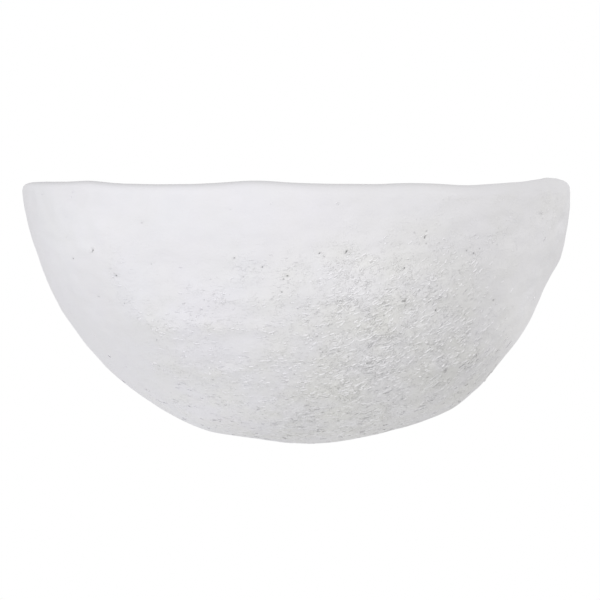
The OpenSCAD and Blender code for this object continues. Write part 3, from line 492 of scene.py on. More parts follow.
BROWN_SLEEVE = sleeve_finish("brown_sleeve", (0.13, 0.045, 0.018), (0.09, 0.03, 0.012))
BLUE_SLEEVE = sleeve_finish("blue_sleeve", (0.02, 0.1, 0.38), (0.015, 0.07, 0.3))
EARTH_SLEEVE = sleeve_finish("earth_sleeve", (0.03, 0.24, 0.035), (0.02, 0.18, 0.03), (0.62, 0.55, 0.03))


# ---- meshes ----


class Skin:
    """The points and triangles of one closed surface, gathered row by row."""

    def __init__(self):
        self.points = []
        self.faces = []
        self.crest = []
        self.count = 0

    def row(self, points):
        """Adds a row of points and gives their numbers."""
        start = self.count
        self.points.append(np.asarray(points, float).reshape(-1, 3))
        self.count += len(self.points[-1])
        return list(range(start, self.count))

    def zip_rows(self, a, b, over=False):
        """Triangles between two rows, each spread evenly from one end to the other."""
        i, j = 0, 0
        last_a, last_b = len(a) - 1, len(b) - 1
        while i < last_a or j < last_b:
            if j == last_b or (i < last_a and (i + 1) * last_b <= (j + 1) * last_a):
                face = (a[i], a[i + 1], b[j])
                i += 1
            else:
                face = (a[i], b[j + 1], b[j])
                j += 1
            self.faces.append(face if over else face[::-1])

    def all_points(self):
        """All points, in the order of their numbers."""
        return np.concatenate(self.points)


def unit(vectors):
    """Vectors with their lengths made one."""
    return vectors / np.linalg.norm(vectors, axis=-1, keepdims=True)


def between(least, greatest, share):
    """A value that lies a share of the way from the least to the greatest."""
    return least + (greatest - least) * share


def new_object(name, data):
    """An object in the scene, at the origin."""
    made = bpy.data.objects.new(name, data)
    bpy.context.scene.collection.objects.link(made)
    return made


def new_piece(name, points_mm, faces, finish, slot, body, *nodes, smooth_angle=40):
    """A mesh piece that stands for CAD nodes and rides on their body."""
    mesh = bpy.data.meshes.new(name)
    mesh.from_pydata((np.asarray(points_mm) * MM).tolist(), [], faces)
    mesh.validate()
    mesh.shade_smooth()
    mesh.set_sharp_from_angle(angle=math.radians(smooth_angle))
    mesh.materials.append(finish)
    made = new_object(name, mesh)
    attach(made, body)
    if nodes:
        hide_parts(*nodes)
    return made


def keep_values(mesh, **kept):
    """Values at each point of a mesh, for a material to read."""
    for name, values in kept.items():
        made = mesh.attributes.new(name, "FLOAT", "POINT")
        made.data.foreach_set("value", np.asarray(values, np.float32))


# ---- bowl ----


def unit_place(plan, drop):
    """A place on the unit quarter sphere, from the angles around the rim and down from it."""
    plan, drop = np.radians(plan), np.radians(drop)
    return np.stack([np.cos(plan) * np.cos(drop), np.sin(plan) * np.cos(drop),
                     np.sin(drop) + 0 * plan], -1)


def hand_lift(plan, drop):
    """How far the bumps and dents lift the outer skin."""
    place = unit_place(plan, drop)
    lift = np.zeros(len(place))
    for at_plan, at_drop, height, along, forward in HAND_BUMPS:
        d = place - unit_place(at_plan, at_drop)
        lift += height * np.exp(-(d[:, 0] ** 2 + d[:, 2] ** 2) / (2 * along ** 2)
                                - d[:, 1] ** 2 / (2 * forward ** 2))
    return lift


def rim_rise(plan):
    """How far the rim rises over its mean line."""
    return sum(height * np.exp(-(plan - at) ** 2 / (2 * width ** 2)) for at, height, width in RIM_RISES)


def lip_height(plan):
    """Height of the rounding of the lip."""
    return between(LIP_LEFT, LIP_RIGHT, (1 + np.cos(np.radians(plan))) / 2)


def skin_point(plan, drop, inset=0.0):
    """A point of the outer skin, or of one inset from it."""
    lift = hand_lift(plan, drop) - inset
    around, down = np.radians(plan), math.radians(drop)
    settle = (lip_height(plan) - rim_rise(plan)) * (1 - math.sin(down)) ** 2
    return np.stack([
        (BOWL_WIDTH / 2 + lift) * np.cos(around) * math.cos(down),
        -BACK_GAP - (BOWL_DEPTH - BACK_GAP + lift) * np.sin(around) * math.cos(down),
        RIM_HEIGHT - (BOWL_HEIGHT + lift) * math.sin(down) - settle,
    ], -1)


def inner_point(plan, drop):
    """A point of the inner skin, flat at the corners where the hanger's tabs are seated."""
    point = skin_point(plan, drop, PULP_WALL)
    point[:, 0] = np.clip(point[:, 0], -SEAT_X, SEAT_X)
    return point


def lip_point(plan, turn):
    """A point of the lip, turning over from the outer skin to the inner one.

    The lip is squarer where it is thick.
    """
    outer, inner = skin_point(plan, 0), inner_point(plan, 0)
    turn = math.radians(turn)
    thick = np.linalg.norm(outer - inner, axis=1)
    power = 1 - LIP_SQUARE * np.clip(thick / PULP_WALL - 1, 0, 1)
    across = math.copysign(1, math.cos(turn)) * abs(math.cos(turn)) ** power
    point = (outer + inner) / 2 + (outer - inner) / 2 * across[:, None]
    point[:, 2] += lip_height(plan) * math.sin(turn) ** power
    return point


def around_the_bowl(drop, step):
    """Angles around the bowl at one drop, spaced by a step."""
    across = (BOWL_WIDTH / 2 + BOWL_DEPTH) / 2 * math.cos(math.radians(drop))
    return np.linspace(0, 180, max(6, round(math.pi * across / step)) + 1)


def close_back(skin, outer, lip, inner):
    """The flat back edge of the bowl, in strips from the outer skin to the inner one."""
    points = skin.all_points()
    foot = [outer[0][0]]
    for k in range(1, EDGE_STEPS):
        share = k / EDGE_STEPS
        foot += skin.row(points[outer[0][0]] * (1 - share) + points[inner[0][0]] * share)
    foot.append(inner[0][0])
    for end in (0, -1):
        chains = [[row[end] for row in outer]]
        first = points[chains[0]]
        last = points[[row[end] for row in inner]]
        for k in range(1, EDGE_STEPS):
            share = k / EDGE_STEPS
            count = round(between(len(first), len(last), share))
            at = np.linspace(0, 1, count + 1)[1:-1]
            mixed = [
                (1 - share) * np.interp(at, np.linspace(0, 1, len(first)), first[:, c])
                + share * np.interp(at, np.linspace(0, 1, len(last)), last[:, c])
                for c in range(3)
            ]
            chains.append([foot[k], *skin.row(np.stack(mixed, -1)), lip[k][end]])
        chains.append([row[end] for row in inner])
        for a, b in zip(chains, chains[1:]):
            skin.zip_rows(a, b, over=end != 0)


def skin_rows(skin, point_at, step):
    """Rows of a skin, from the foot of the bowl up to its rim."""
    quarter = math.pi / 2 * (BOWL_WIDTH / 2 + BOWL_HEIGHT) / 2
    drops = np.linspace(90, 0, round(quarter / step) + 1)
    foot = skin.row(point_at(np.zeros(1), 90))
    return [foot] + [skin.row(point_at(around_the_bowl(drop, step), drop)) for drop in drops[1:]]


def bowl_skin():
    """The whole skin of the half bowl, and the numbers at which its inside, lip and back start."""
    skin = Skin()
    outer = skin_rows(skin, skin_point, OUTER_STEP)
    inner_start = skin.count
    inner = skin_rows(skin, inner_point, INNER_STEP)
    lip_start = skin.count
    lip = [outer[-1]]
    for k in range(1, EDGE_STEPS):
        share = k / EDGE_STEPS
        plan = around_the_bowl(0, between(OUTER_STEP, INNER_STEP, share ** 2))
        lip.append(skin.row(lip_point(plan, 180 * share)))
        skin.crest += [math.sin(math.pi * share)] * len(plan)
    lip.append(inner[-1])
    back_start = skin.count
    for rows, over in ((outer, False), (lip, False), (inner, True)):
        for a, b in zip(rows, rows[1:]):
            skin.zip_rows(a, b, over)
    close_back(skin, outer, lip, inner)
    return skin, inner_start, lip_start, back_start


# Where the pulp is coarse: across, up, spread across, spread up, and how coarse; then how coarse it
# is at the least, at the most and inside, and how much it drifts
COARSE_PATCHES = (
    (64, -52, 76, 54, 1.0), (84, -14, 34, 26, 0.35), (58, -4, 44, 22, 0.38),
    (24, -98, 90, 34, 0.72), (-2, -116, 40, 18, 0.6), (118, -84, 40, 30, 0.4),
    (10, -4, 48, 20, 0.3), (-34, 4, 26, 20, 0.2), (-60, -84, 60, 40, 0.4),
    (-72, -34, 34, 26, 0.3), (-112, -8, 30, 36, 0.14), (118, 10, 34, 20, 0.3),
    (90, 30, 50, 14, 0.16), (140, 54, 14, 7, 0.34), (112, 53, 20, 7, 0.24),
    (180, 42, 14, 18, 0.3), (148, 28, 20, 16, 0.2), (121, 14, 8, 6, 0.55),
    (86, 26, 5, 7, 0.5), (76, -20, 8, 6, 0.3), (34, 13, 9, 5, 0.35),
    (-8, -1, 8, 5, 0.4),
)
COARSE_LEAST = 0.05
COARSE_MOST = 1.1
COARSE_DRIFT = 0.55
COARSE_INSIDE = 0.25

# Where the pulp is painted darker, or with a minus lighter, partly its own uneven tone and partly painted
# shade and painted light: across, up, spread across, spread up, and how much
TONE_AND_SHADE_PATCHES = (
    (118, -58, 34, 40, 0.8), (80, -70, 40, 20, 0.5), (-12, -120, 34, 16, 1.0),
    (84, -118, 40, 14, 1.2), (140, 40, 30, 18, 0.8), (172, 52, 22, 10, 0.7),
    (128, -8, 26, 26, 0.6), (46, -2, 40, 24, -1.0), (162, -42, 22, 34, -1.4),
    (-60, -96, 50, 20, -0.8), (-160, 16, 30, 24, -0.6),
)

# The soft folds of the front, the first from the left down to the shoulder in the middle: height,
# reach, and the places across and up that each runs through
FOLDS = (
    (2.4, 12, ((-131, 26), (-124, 0), (-110, -22), (-94, -40), (-72, -34), (-48, -37), (-23, -38),
               (4, -34))),
    (2.1, 8, ((-84, -8), (-62, -15), (-36, -19), (-8, -17), (10, -12))),
    (1.4, 8, ((-104, -60), (-82, -66), (-52, -70), (-24, -66))),
    (1.8, 9, ((66, -72), (92, -70), (122, -60), (140, -48))),
)

# The small creases by the right corner, as folds with a minus height
CREASES = (
    (-0.7, 1.6, ((166, 57), (171, 53), (174, 48))),
    (-0.7, 1.6, ((167, 44), (170, 38), (174, 30))),
    (-0.8, 1.6, ((182, 28), (188, 32), (193, 37))),
    (-0.5, 1.6, ((156, 34), (160, 24))),
    (-0.5, 1.6, ((140, 58), (146, 55), (153, 56))),
)

# How softly a fold is rounded, and how coarse the pulp is along it and how far to its sides
FOLD_CREST = 2.5
FOLD_CRUMBLE = 0.4
CRUMBLE_REACH = 5

# How far from the wall the folds, the pinholes and the full relief begin
FOLDS_FROM = 40
PITS_FROM = 30
RELIEF_FROM = 45

# How far a pinhole's edge lies from its middle, how much of its depth is dug, how much painted shade it
# gets for each millimetre of depth, and how coarse and how far the pulp around it is torn
PIT_REACH = 0.45
PIT_DUG = 0.6
PIT_SHADE = 0.8
TORN_COARSE = 0.22
TORN_REACH = 3

# Pinholes and short slits of the front: across, up and depth, and a slit's length and lean in degrees
PITS = (
    (-139, 15, 1.8, 2.2, 80), (-155, 8, 1.2), (-123, -2, 1.5, 1.2, -30), (-105, 34, 0.8, 2.6, -25),
    (-98, 6, 0.8), (-117, -21, 1.0), (-137, -18, 0.7, 1.8, 10), (-79, -105, 1.6),
    (-95, -47, 0.8, 2.0, 70), (-62, -18, 0.9), (-42, 10, 1.2), (-35, -2, 0.9, 1.5, 20), (-23, 4, 1.3),
    (-10, -12, 1.2), (-6, -2, 1.6, 2.0, 15), (-11, 58, 1.0), (-44, 43, 0.6, 1.6, 0),
    (16, 14, 1.2, 1.5, 30), (34, 14, 1.3, 2.0, 60), (28, 46, 0.7), (36, -58, 1.5), (73, 3, 1.3),
    (73, -19, 1.3, 2.4, 5), (84, -12, 1.0, 2.0, 35), (87, 24, 1.5, 1.8, 70), (80, 27, 0.8),
    (83, 57, 0.8, 2.5, 0), (96, -27, 1.7, 1.6, -40), (75, -22, 1.0), (71, -16, 0.9, 1.5, 0),
    (88, 20, 1.0), (-8, -4, 1.1), (19, 11, 1.0), (60, -30, 1.1, 1.5, 30), (66, -34, 0.9),
    (62, -46, 1.0, 1.5, 40), (122, 13, 1.6, 1.4, 60), (117, 15, 1.0), (138, -21, 1.8), (88, 28, 0.9),
    (119, 17, 0.7), (126, 16, 0.9),
)


def patch_share(points, across, up, wide, high, share):
    """A patch's share at each point, fading out from its middle."""
    return share * np.exp(-((points[:, 0] - across) / wide) ** 2 - ((points[:, 2] - up) / high) ** 2)


def greyness(points):
    """How much darker the pulp is painted at each point, or with a minus lighter: partly its own uneven
    tone, partly painted shade and painted light.
    """
    return sum(patch_share(points, *patch) for patch in TONE_AND_SHADE_PATCHES) * (points[:, 1] < -BACK_GAP)


def coarseness(points):
    """From 0 to 1, how coarse the pulp is at each point."""
    coarse = np.zeros(len(points))
    for patch in COARSE_PATCHES:
        coarse = np.hypot(coarse, patch_share(points, *patch))
    drift = np.array([noise.fractal(Vector(p) / 24, 1.0, 2.0, 2) for p in points])
    return np.clip(coarse * (1 + COARSE_DRIFT * drift) + COARSE_LEAST, COARSE_LEAST, COARSE_MOST)


def fold_relief(points, height, reach, route):
    """A low ridge along a fold, fading out at its two ends."""
    flat = points[:, [0, 2]]
    nearest = np.full(len(points), 1e9)
    fade = np.zeros(len(points))
    for n, (a, b) in enumerate(zip(route, route[1:])):
        a, b = np.array(a, float), np.array(b, float)
        share = np.clip(((flat - a) @ (b - a)) / ((b - a) @ (b - a)), 0, 1)
        away = np.linalg.norm(flat - a - share[:, None] * (b - a), axis=1)
        along = (n + share) / (len(route) - 1)
        closer = away < nearest
        nearest = np.where(closer, away, nearest)
        fade = np.where(closer, np.sin(np.pi * np.clip(along * 0.9 + 0.05, 0, 1)) ** 0.7, fade)
    soft = np.hypot(nearest, FOLD_CREST) - FOLD_CREST
    return height * fade * np.exp(-soft / reach) * (points[:, 1] < -FOLDS_FROM)


def dragged(points, lean, length, width):
    """Ridges drawn out one way, from 0 to 1, with bare skin between them."""
    lean = math.radians(lean)
    along = points[:, 0] * math.cos(lean) + points[:, 2] * math.sin(lean)
    up = points[:, 2] * math.cos(lean) - points[:, 0] * math.sin(lean)
    places = np.stack([along / length, points[:, 1] / length, up / width], -1)
    ridges = np.array([noise.fractal(Vector(p), 1.0, 2.1, 2) for p in places])
    return np.clip((ridges - 0.12) / 0.4, 0, 1)


def soft_noise(points, shift, size):
    """Smooth noise at each point, with lumps of a size along each axis."""
    return np.array([noise.noise(Vector(p)) for p in np.array(shift) + points / np.array(size)])


# Height of each part of the relief in millimetres, and what the coarse pulp adds to it
LUMP_HEIGHT = 0.8
DAB_HEIGHT = 0.68
DAB_COARSE = 0.34
KNOB_HEIGHT = 0.16
KNOB_COARSE = 0.02
STROKE_COARSE = 0.4
CRUMB_COARSE = 0.12
COARSE_SETTLE = 0.06

# The share of the relief at the wall, and on the lip and inside
WALL_RELIEF = 0.25
INNER_RELIEF = 0.3


def relief(points, coarse, lean):
    """Height of the pulp over the smooth skin at each point."""
    lumps = np.array([noise.fractal(Vector(p) / 44, 1.0, 2.0, 3) for p in points])
    dabs = soft_noise(points, (7, 3, 5), (21, 15, 10))
    knobs = soft_noise(points, (1, 9, 2), (10, 8, 5))
    crumbs = np.array([noise.fractal(Vector(p) / 3.1, 0.8, 2.0, 2) for p in points])
    strokes = dragged(points, 8, 12, 2.4) * (1 - lean) + dragged(points, 29, 10, 2.4) * lean
    rough = STROKE_COARSE * strokes + CRUMB_COARSE * np.clip(crumbs - 0.1, 0, 1) - COARSE_SETTLE
    return (LUMP_HEIGHT * lumps + (DAB_HEIGHT + DAB_COARSE * coarse) * dabs
            + (KNOB_HEIGHT + KNOB_COARSE * coarse) * knobs + coarse * rough)


def dig_pits(points, normals):
    """How deep each point lies in a pit, how much painted shade that gives it, and how torn the pulp is
    around.
    """
    found = np.zeros((3, len(points)))
    facing = (normals[:, 1] < 0) & (points[:, 1] < -PITS_FROM)
    flat = points[facing][:, [0, 2]]
    for across, up, deep, *slit in PITS:
        length, lean = slit or (0, 0)
        lie = np.array([math.cos(math.radians(lean)), math.sin(math.radians(lean))])
        nearest = flat[np.argmin(((flat - (across, up)) ** 2).sum(1))]
        offset = flat - nearest
        along = np.clip(offset @ lie, -length / 2, length / 2)
        away = np.linalg.norm(offset - along[:, None] * lie, axis=1)
        hole = np.exp(-(away / PIT_REACH) ** 2)
        here = deep * hole, min(PIT_SHADE * deep, 1.0) * hole, deep * np.exp(-(away / TORN_REACH) ** 2)
        found[:, facing] = np.maximum(found[:, facing], here)
    return found


def lip_shade_mask(skin, on_lip, points):
    """1 along the crest of the lip, and 0 where it has turned down into the two skins: how much painted
    shade darkens the lip.
    """
    edge = np.zeros(len(points))
    edge[on_lip] = skin.crest
    wide = np.clip((points[:, 0] - 90) / 60, 0, 1)
    return edge ** (3 - 2 * wide) * (1 - 0.4 * wide)


def point_normals(mesh):
    """The mesh's normal at each point."""
    normals = np.zeros(len(mesh.vertices) * 3, np.float32)
    mesh.vertex_normals.foreach_get("vector", normals)
    return normals.reshape(-1, 3).astype(float)


def make_bowl():
    """The bowl, with its lumps, dragged fibres, crumbs and pinholes in the mesh."""
    skin, inner_start, lip_start, back_start = bowl_skin()
    points = skin.all_points()
    bowl = new_piece("pulp_bowl", points, skin.faces, PULP, "pulp", "shade", "shade_bowl")
    mesh = bowl.data
    normals = point_normals(mesh)
    number = np.arange(len(points))
    outer = number < inner_start
    inside = (number >= inner_start) & (number < lip_start)
    on_lip = (number >= lip_start) & (number < back_start)
    # The second of these is the painted shade of the pinholes, kept as the pit value
    depth, dark, torn = dig_pits(points, normals)
    crumbled = sum(fold_relief(points, FOLD_CRUMBLE, CRUMBLE_REACH, route) for *_, route in FOLDS)
    coarse = np.hypot(coarseness(points), np.hypot(TORN_COARSE * torn, crumbled))
    lean = np.clip((points[:, 0] + 40) / 80, 0, 1)
    share = between(WALL_RELIEF, 1, np.clip(-points[:, 1] / RELIEF_FROM, 0, 1))
    share = np.where(outer, share, INNER_RELIEF)
    share[inside & (np.abs(points[:, 0]) > SEAT_X - 0.01)] = 0
    folds = sum(fold_relief(points, *fold) for fold in FOLDS + CREASES)
    lift = relief(points, coarse, lean) * share + np.where(outer, folds - PIT_DUG * depth, 0)
    points = points + normals * lift[:, None]
    low, high = (np.array(corner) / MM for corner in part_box("shade_bowl"))
    points = np.clip(points, low, high)
    mesh.vertices.foreach_set("co", (points * MM).astype(np.float32).ravel())
    mesh.update()
    coarse = np.where(inside, COARSE_INSIDE, np.where(on_lip, COARSE_LEAST, coarse))
    grey = np.where(outer | on_lip, greyness(points), 0)
    keep_values(mesh, coarse=coarse, edge=lip_shade_mask(skin, on_lip, points), grey=grey, lean=lean,
                pit=np.where(outer, dark, 0))
    make_fibres(points[outer], point_normals(mesh)[outer], coarse[outer], lean[outer], grey[outer],
                low, high)


# How many fibres and flakes stand out of the pulp, and the seed that scatters them
FIBRE_COUNT = 2800
FIBRE_SEED = 11

# Least and greatest length and width of a fibre, and how far its free edge stands off the skin
FIBRE_LENGTH = (1.8, 8.0)
FIBRE_WIDTH = (0.38, 0.85)
FIBRE_LIFT = (0.2, 0.55)

# Thickness of a fibre's free edge, and how deep its root sits in the skin
FIBRE_EDGE = 0.16
FIBRE_ROOT = 0.15

# How coarse the pulp is where fibres begin, how steeply they rise at the left, how much more at the
# right, and how widely they scatter about that, in degrees
FIBRE_ONSET = 0.22
FIBRE_RISE = 8
FIBRE_RISE_RIGHT = 22
FIBRE_SCATTER = 14

# The triangles of one fibre: a pointed end, three rings of three points, and a pointed end
FIBRE_RINGS = ((1, 2, 3), (4, 5, 6), (7, 8, 9))
FIBRE_POINTS = 11


def fibre_faces():
    """The triangles of one closed fibre."""
    faces = []
    for a, b in ((0, 1), (1, 2), (2, 0)):
        first, last = FIBRE_RINGS[0], FIBRE_RINGS[-1]
        faces.append((0, first[b], first[a]))
        faces.append((last[a], last[b], FIBRE_POINTS - 1))
        for near, far in zip(FIBRE_RINGS, FIBRE_RINGS[1:]):
            faces.append((near[a], near[b], far[b]))
            faces.append((near[a], far[b], far[a]))
    return np.array(faces)


def make_fibres(points, normals, coarse, lean, grey, low, high):
    """Short fibres and flakes on the coarse pulp, each with one long edge lifted off the skin."""
    chance = np.random.default_rng(FIBRE_SEED)
    clumps = np.array([noise.noise(Vector(p) / 8 + Vector((4, 4, 8))) for p in points])
    odds = np.clip(coarse - FIBRE_ONSET, 0.006, 1) * np.clip(0.45 + 1.4 * clumps, 0.05, 1)
    odds *= normals[:, 1] < -0.15
    chosen = chance.choice(len(points), FIBRE_COUNT, replace=False, p=odds / odds.sum())
    at, normal, right = points[chosen], normals[chosen], lean[chosen]
    # How strongly each fibre gets the painted highlight, more on coarser pulp
    shine = chance.uniform(0.3, 1, FIBRE_COUNT) * np.clip(coarse[chosen] / 0.7, 0.3, 1)
    size = chance.beta(1.5, 3.2, (FIBRE_COUNT, 1))
    length = between(*FIBRE_LENGTH, size)
    width = between(*FIBRE_WIDTH, chance.random((FIBRE_COUNT, 1)))
    lift = between(*FIBRE_LIFT, chance.random((FIBRE_COUNT, 1)) ** 1.5)
    rise = np.radians(chance.normal(FIBRE_RISE + FIBRE_RISE_RIGHT * right, FIBRE_SCATTER))
    over = np.where(chance.random((FIBRE_COUNT, 1)) < 0.8, -1, 1)
    along = np.stack([np.cos(rise), 0 * rise, np.sin(rise)], -1)
    along = unit(along - normal * (along * normal).sum(1)[:, None])
    up = np.cross(normal, along)
    slip_along, slip_up = chance.uniform(-0.6, 0.6, (2, FIBRE_COUNT, 1))
    at = at + along * slip_along + up * slip_up
    bend = chance.uniform(-0.5, 0.5, (FIBRE_COUNT, 1))
    free = up * over
    root = normal * FIBRE_ROOT
    rows = [at - along * length / 2 - root]
    for share in (-0.55, 0, 0.55):
        full = math.sqrt(1 - share ** 2)
        middle = at + along * share * length / 2 + up * bend * full
        rows.append(middle - free * width / 2 * full - root)
        rows.append(middle + free * width / 2 * full + normal * lift * full)
        rows.append(middle + free * width * 0.4 * full + normal * (lift * full - FIBRE_EDGE))
    rows.append(at + along * length / 2 - root)
    places = np.clip(np.stack(rows, 1).reshape(-1, 3), low, high)
    faces = np.where(over[:, None] > 0, fibre_faces()[:, ::-1], fibre_faces())
    faces += FIBRE_POINTS * np.arange(FIBRE_COUNT)[:, None, None]
    fibres = new_piece("pulp_fibres", places, faces.reshape(-1, 3).tolist(), PULP, "pulp", "shade")
    right, greyer, shine = (np.repeat(kept, FIBRE_POINTS) for kept in (right, grey[chosen], shine))
    keep_values(fibres.data, coarse=np.full(len(places), 0.2), lean=right, grey=greyer, tip=shine)


# ---- wires ----


def route_point(route, u):
    """A point of the smooth curve through a route, u counted in the route's points."""
    last = len(route) - 1
    i = min(int(u), last - 1)
    t = u - i
    p0, p1, p2, p3 = (np.array(route[k], float) for k in (max(i - 1, 0), i, i + 1, min(i + 2, last)))
    return 0.5 * (2 * p1 + (p2 - p0) * t + (2 * p0 - 5 * p1 + 4 * p2 - p3) * t * t
                  + (3 * p1 - p0 - 3 * p2 + p3) * t ** 3)


def make_wire(name, route, finish, slot, node):
    """A round insulated wire along its route, with the angle around it kept for a stripe."""
    spans = len(route) - 1
    side = np.array([1, -1, 0])
    skin = Skin()
    rings = []
    around = []
    turns = np.arange(WIRE_SIDES) / WIRE_SIDES
    for u in np.linspace(0, spans, spans * WIRE_RINGS + 1):
        ahead = unit(route_point(route, min(u + 0.1, spans)) - route_point(route, max(u - 0.1, 0)))
        across = unit(np.cross(ahead, side))
        over = np.cross(ahead, across)
        spoke = (np.cos(2 * np.pi * turns)[:, None] * across + np.sin(2 * np.pi * turns)[:, None] * over)
        rings.append(skin.row(route_point(route, u) + WIRE_DIAMETER / 2 * spoke))
        around += list(turns + u * 0.11)
    for a, b in zip(rings, rings[1:]):
        skin.zip_rows([*a, a[0]], [*b, b[0]], over=True)
    for ring, at, over in ((rings[0], route[0], True), (rings[-1], route[-1], False)):
        middle = skin.row(at)[0]
        around.append(0)
        for a, b in zip(ring, [*ring[1:], ring[0]]):
            skin.faces.append((b, a, middle) if over else (a, b, middle))
    wire = new_piece(name, skin.all_points(), skin.faces, finish, slot, "wall_side", node)
    keep_values(wire.data, around=around)


# ---- rolled threads ----


def thread_levels(low, high):
    """Heights along a thread, close enough for its wave."""
    return np.linspace(low, high, math.ceil((high - low) * THREAD_STEPS / THREAD_PITCH) + 1)


def make_rolled_thread(name, loop, body, node):
    """Thin metal rolled into a thread: a closed loop of radius, height and wave, wound about +Z."""
    skin = Skin()
    turns = 2 * np.pi * np.arange(THREAD_SIDES) / THREAD_SIDES
    rings = []
    for radius, level, wave in loop:
        r = radius + wave * np.cos(2 * np.pi * level / THREAD_PITCH - turns)
        x, y = LAMP_AXIS[0] + r * np.cos(turns), LAMP_AXIS[1] + r * np.sin(turns)
        rings.append(skin.row(np.stack([x, y, ARM_TOP + level + 0 * turns], -1)))
    for a, b in zip(rings, [*rings[1:], rings[0]]):
        skin.zip_rows([*a, a[0]], [*b, b[0]], over=True)
    new_piece(name, skin.all_points(), skin.faces, NICKEL, "nickel", body, node, smooth_angle=35)


def make_threads():
    """The holder's screw shell and the lamp's screw cap."""
    levels = thread_levels(SHELL_THREAD_LOW, SHELL_THREAD_HIGH)
    grip = SHELL_RADIUS + THREAD_WAVE
    make_rolled_thread("rolled_screw_shell", [
        (grip + THREAD_SHEET, SHELL_LOW, 0),
        *((SHELL_RADIUS + THREAD_SHEET, z, THREAD_WAVE) for z in levels),
        (grip + THREAD_SHEET, SHELL_HIGH, 0),
        (grip, SHELL_HIGH, 0),
        *((SHELL_RADIUS, z, THREAD_WAVE) for z in levels[::-1]),
        (grip, SHELL_LOW + THREAD_SHEET, 0),
        (SHELL_FLANGE_RADIUS, SHELL_LOW + THREAD_SHEET, 0),
        (SHELL_FLANGE_RADIUS, SHELL_LOW, 0),
    ], "wall_side", "screw_shell")
    levels = thread_levels(CAP_THREAD_LOW, CAP_THREAD_HIGH)
    middle = CAP_CREST_RADIUS - THREAD_WAVE
    root = middle - THREAD_WAVE
    make_rolled_thread("rolled_lamp_cap", [
        (root - THREAD_SHEET, CAP_LOW, 0),
        (root, CAP_LOW, 0),
        *((middle, z, THREAD_WAVE) for z in levels),
        (CAP_CREST_RADIUS, CAP_COLLAR, 0),
        (CAP_CREST_RADIUS, CAP_HIGH, 0),
        (CAP_CREST_RADIUS - THREAD_SHEET, CAP_HIGH, 0),
        (CAP_CREST_RADIUS - THREAD_SHEET, CAP_COLLAR, 0),
        *((middle - THREAD_SHEET, z, THREAD_WAVE) for z in levels[::-1]),
    ], "lamp", "lamp_cap")


# ---- softened edges of the cut and moulded pieces ----


def soften(node, width):
    """Rounds a piece's sharp edges a little, as cutting and moulding leave them."""
    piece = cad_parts[node]
    weld = piece.modifiers.new("joined", "WELD")
    weld.merge_threshold = 0.002 * MM
    bevel = piece.modifiers.new("softened", "BEVEL")
    bevel.width = width * MM
    bevel.segments = 2
    bevel.limit_method = "ANGLE"
    bevel.angle_limit = math.radians(40)
    bevel.use_clamp_overlap = True
    piece.modifiers.new("shaded", "WEIGHTED_NORMAL").keep_sharp = True


# ---- studio ----

# Where the lamps aim, how bright the world is, how far down the floor is, how far it reaches, and
# between which distances from its middle it turns white
LAMP_AIM = Vector((0, -0.08, -0.03))
WORLD_LEVEL = 0.76
FLOOR_DROP = 2.4
FLOOR_REACH = 30
FLOOR_FADE = (0.8, 3.2)

# The lamps: side and height angle, distance, size, level and colour
LAMPS = (
    ("key", 2, 36, 3.0, 0.6, 0.28, (0.98, 0.97, 1.0)),
    ("left_fill", -58, -30, 2.6, 1.4, 0.18, (0.97, 0.98, 1.0)),
    ("right_edge", 112, 10, 2.6, 1.0, 0.14, (1.0, 0.99, 0.98)),
)


def place_and_aim(thing, place, aim):
    """Puts a camera or lamp in its place and turns it to where it aims."""
    thing.location = place
    thing.rotation_mode = "QUATERNION"
    thing.rotation_quaternion = (aim - place).to_track_quat("-Z", "Y")


def make_camera():
    """A camera level with the rim, that frames the bowl as the photograph does."""
    data = bpy.data.cameras.new("camera")
    data.sensor_width = SENSOR
    data.lens = SENSOR * CAMERA_DISTANCE * PIXELS_PER_METRE / PHOTO_SIDE
    camera = new_object("camera", data)
    place_and_aim(camera, Vector((0, -CAMERA_DISTANCE, RIM_HEIGHT * MM)), AIM)
    bpy.context.scene.camera = camera


def seen_as_white(tree, share, white_kind, shader):
    """A shader that by a share is plain white to the eye, directly or in a reflection."""
    path = add(tree, "LightPath").outputs
    seen = maths(tree, "MAXIMUM", path["Is Camera Ray"], path["Is Glossy Ray"])
    seen = maths(tree, "MAXIMUM", seen, path["Is Transmission Ray"])
    white = add(tree, white_kind, {"Color": (1, 1, 1, 1), "Strength": 1.0}).outputs[0]
    return add(tree, "MixShader", {0: times(tree, share, seen), 1: shader.outputs[0], 2: white}).outputs[0]


def make_world():
    """Soft light from all sides, seen as plain white."""
    world = bpy.data.worlds.new("studio")
    world.use_nodes = True
    tree = world.node_tree
    tree.nodes.clear()
    soft = add(tree, "Background", {"Color": (1.0, 0.997, 0.985, 1), "Strength": WORLD_LEVEL})
    add(tree, "OutputWorld", {"Surface": seen_as_white(tree, 1.0, "Background", soft)})
    bpy.context.scene.world = world


def make_lamp(name, side, height, distance, size, level, colour):
    """A round soft lamp, aimed at the bowl from a side and a height angle, as bright as its level."""
    data = bpy.data.lights.new(name, "AREA")
    data.shape = "DISK"
    data.size = size
    data.energy = level * math.pi ** 2 * distance ** 2
    data.color = colour
    side, height = math.radians(side), math.radians(height)
    level_away = Vector((math.sin(side), -math.cos(side), 0))
    away = level_away * math.cos(height) + Vector((0, 0, math.sin(height)))
    place_and_aim(new_object(name, data), LAMP_AIM + distance * away, LAMP_AIM)


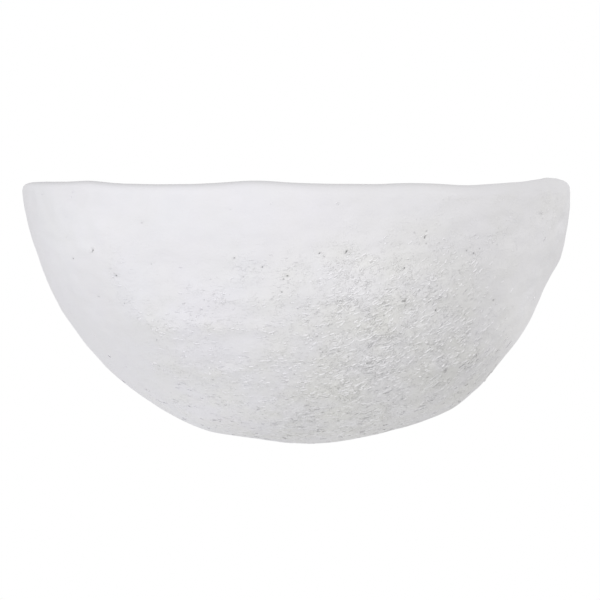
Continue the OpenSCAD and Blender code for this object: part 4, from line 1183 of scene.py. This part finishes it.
def make_floor():
    """A plain pale floor, with the object's shadow on it, that turns white far from the object."""
    mesh = bpy.data.meshes.new("floor")
    corners = [(-1, -1), (1, -1), (1, 1), (-1, 1)]
    places = [(FLOOR_REACH * x, FLOOR_REACH * y, -FLOOR_DROP) for x, y in corners]
    mesh.from_pydata(places, [], [(0, 1, 2, 3)])
    made, tree, shader = material("floor")
    place = add(tree, "SeparateXYZ", {0: add(tree, "TexCoord").outputs["Object"]}).outputs
    squares = (times(tree, place[axis], place[axis]) for axis in "XY")
    far = spread(tree, maths(tree, "SQRT", plus(tree, *squares)), *FLOOR_FADE)
    fill(tree, shader, {"Base Color": (0.86, 0.86, 0.86, 1), "Roughness": 0.9, "Specular IOR Level": 0.1})
    output = next(node for node in tree.nodes if node.type == "OUTPUT_MATERIAL")
    fill(tree, output, {"Surface": seen_as_white(tree, far, "Emission", shader)})
    mesh.materials.append(made)
    new_object("floor", mesh)


make_camera()
make_world()
make_floor()
for lamp in LAMPS:
    make_lamp(*lamp)
make_bowl()
make_wire("live_wire_sleeve", LIVE_ROUTE, BROWN_SLEEVE, "brown_sleeve", "live_wire")
make_wire("neutral_wire_sleeve", NEUTRAL_ROUTE, BLUE_SLEEVE, "blue_sleeve", "neutral_wire")
make_wire("earth_wire_sleeve", EARTH_ROUTE, EARTH_SLEEVE, "earth_sleeve", "earth_wire")
make_threads()

# The finishes of the CAD nodes that stay in sight
NODE_FINISHES = (
    (ZINC, "hanger_strap", "lamp_arm"),
    (SCREW_STEEL, "strap_screws", "strap_washers", "arm_screws", "arm_nuts", "terminal_screws",
     "block_screw", "block_nut", "nipple_washer", "grub_screw", "holder_screws", "lamp_contact"),
    (POWDER_COAT, "wall_plate"),
    (RUBBER, "cable_grommet"),
    (NYLON, "terminal_block", "wire_tie"),
    (BRASS, "terminal_tubes", "earth_screw", "earth_nut", "nipple", "nipple_nut", "holder_terminals"),
    (BRONZE, "earth_tag", "centre_contact"),
    (HOLDER_PLASTIC, "holder_cap", "holder_skirt"),
    (PORCELAIN, "holder_insert"),
    (BLACK_GLASS, "lamp_insulator"),
    (LAMP_PLASTIC, "lamp_housing"),
    (OPAL, "lamp_globe"),
    (BOARD_WHITE, "led_board"),
    (PHOSPHOR, "led_chips"),
    (BOARD_GREEN, "driver_board"),
)
for finish, *nodes in NODE_FINISHES:
    for node in nodes:
        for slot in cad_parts[node].material_slots:
            slot.material = finish

# How wide the rounding of the edges is, in millimetres, and of which pieces
SOFTENED = (
    (0.35, "hanger_strap", "lamp_arm"),
    (0.3, "wall_plate", "terminal_block"),
    (0.25, "nipple_nut"),
    (0.2, "wire_tie", "arm_nuts", "earth_nut"),
    (0.15, "driver_board", "block_nut"),
    (0.12, "earth_tag", "strap_washers"),
    (0.1, "centre_contact"),
)
for width, *nodes in SOFTENED:
    for node in nodes:
        soften(node, width)

bpy.context.scene.view_settings.view_transform = "Standard"
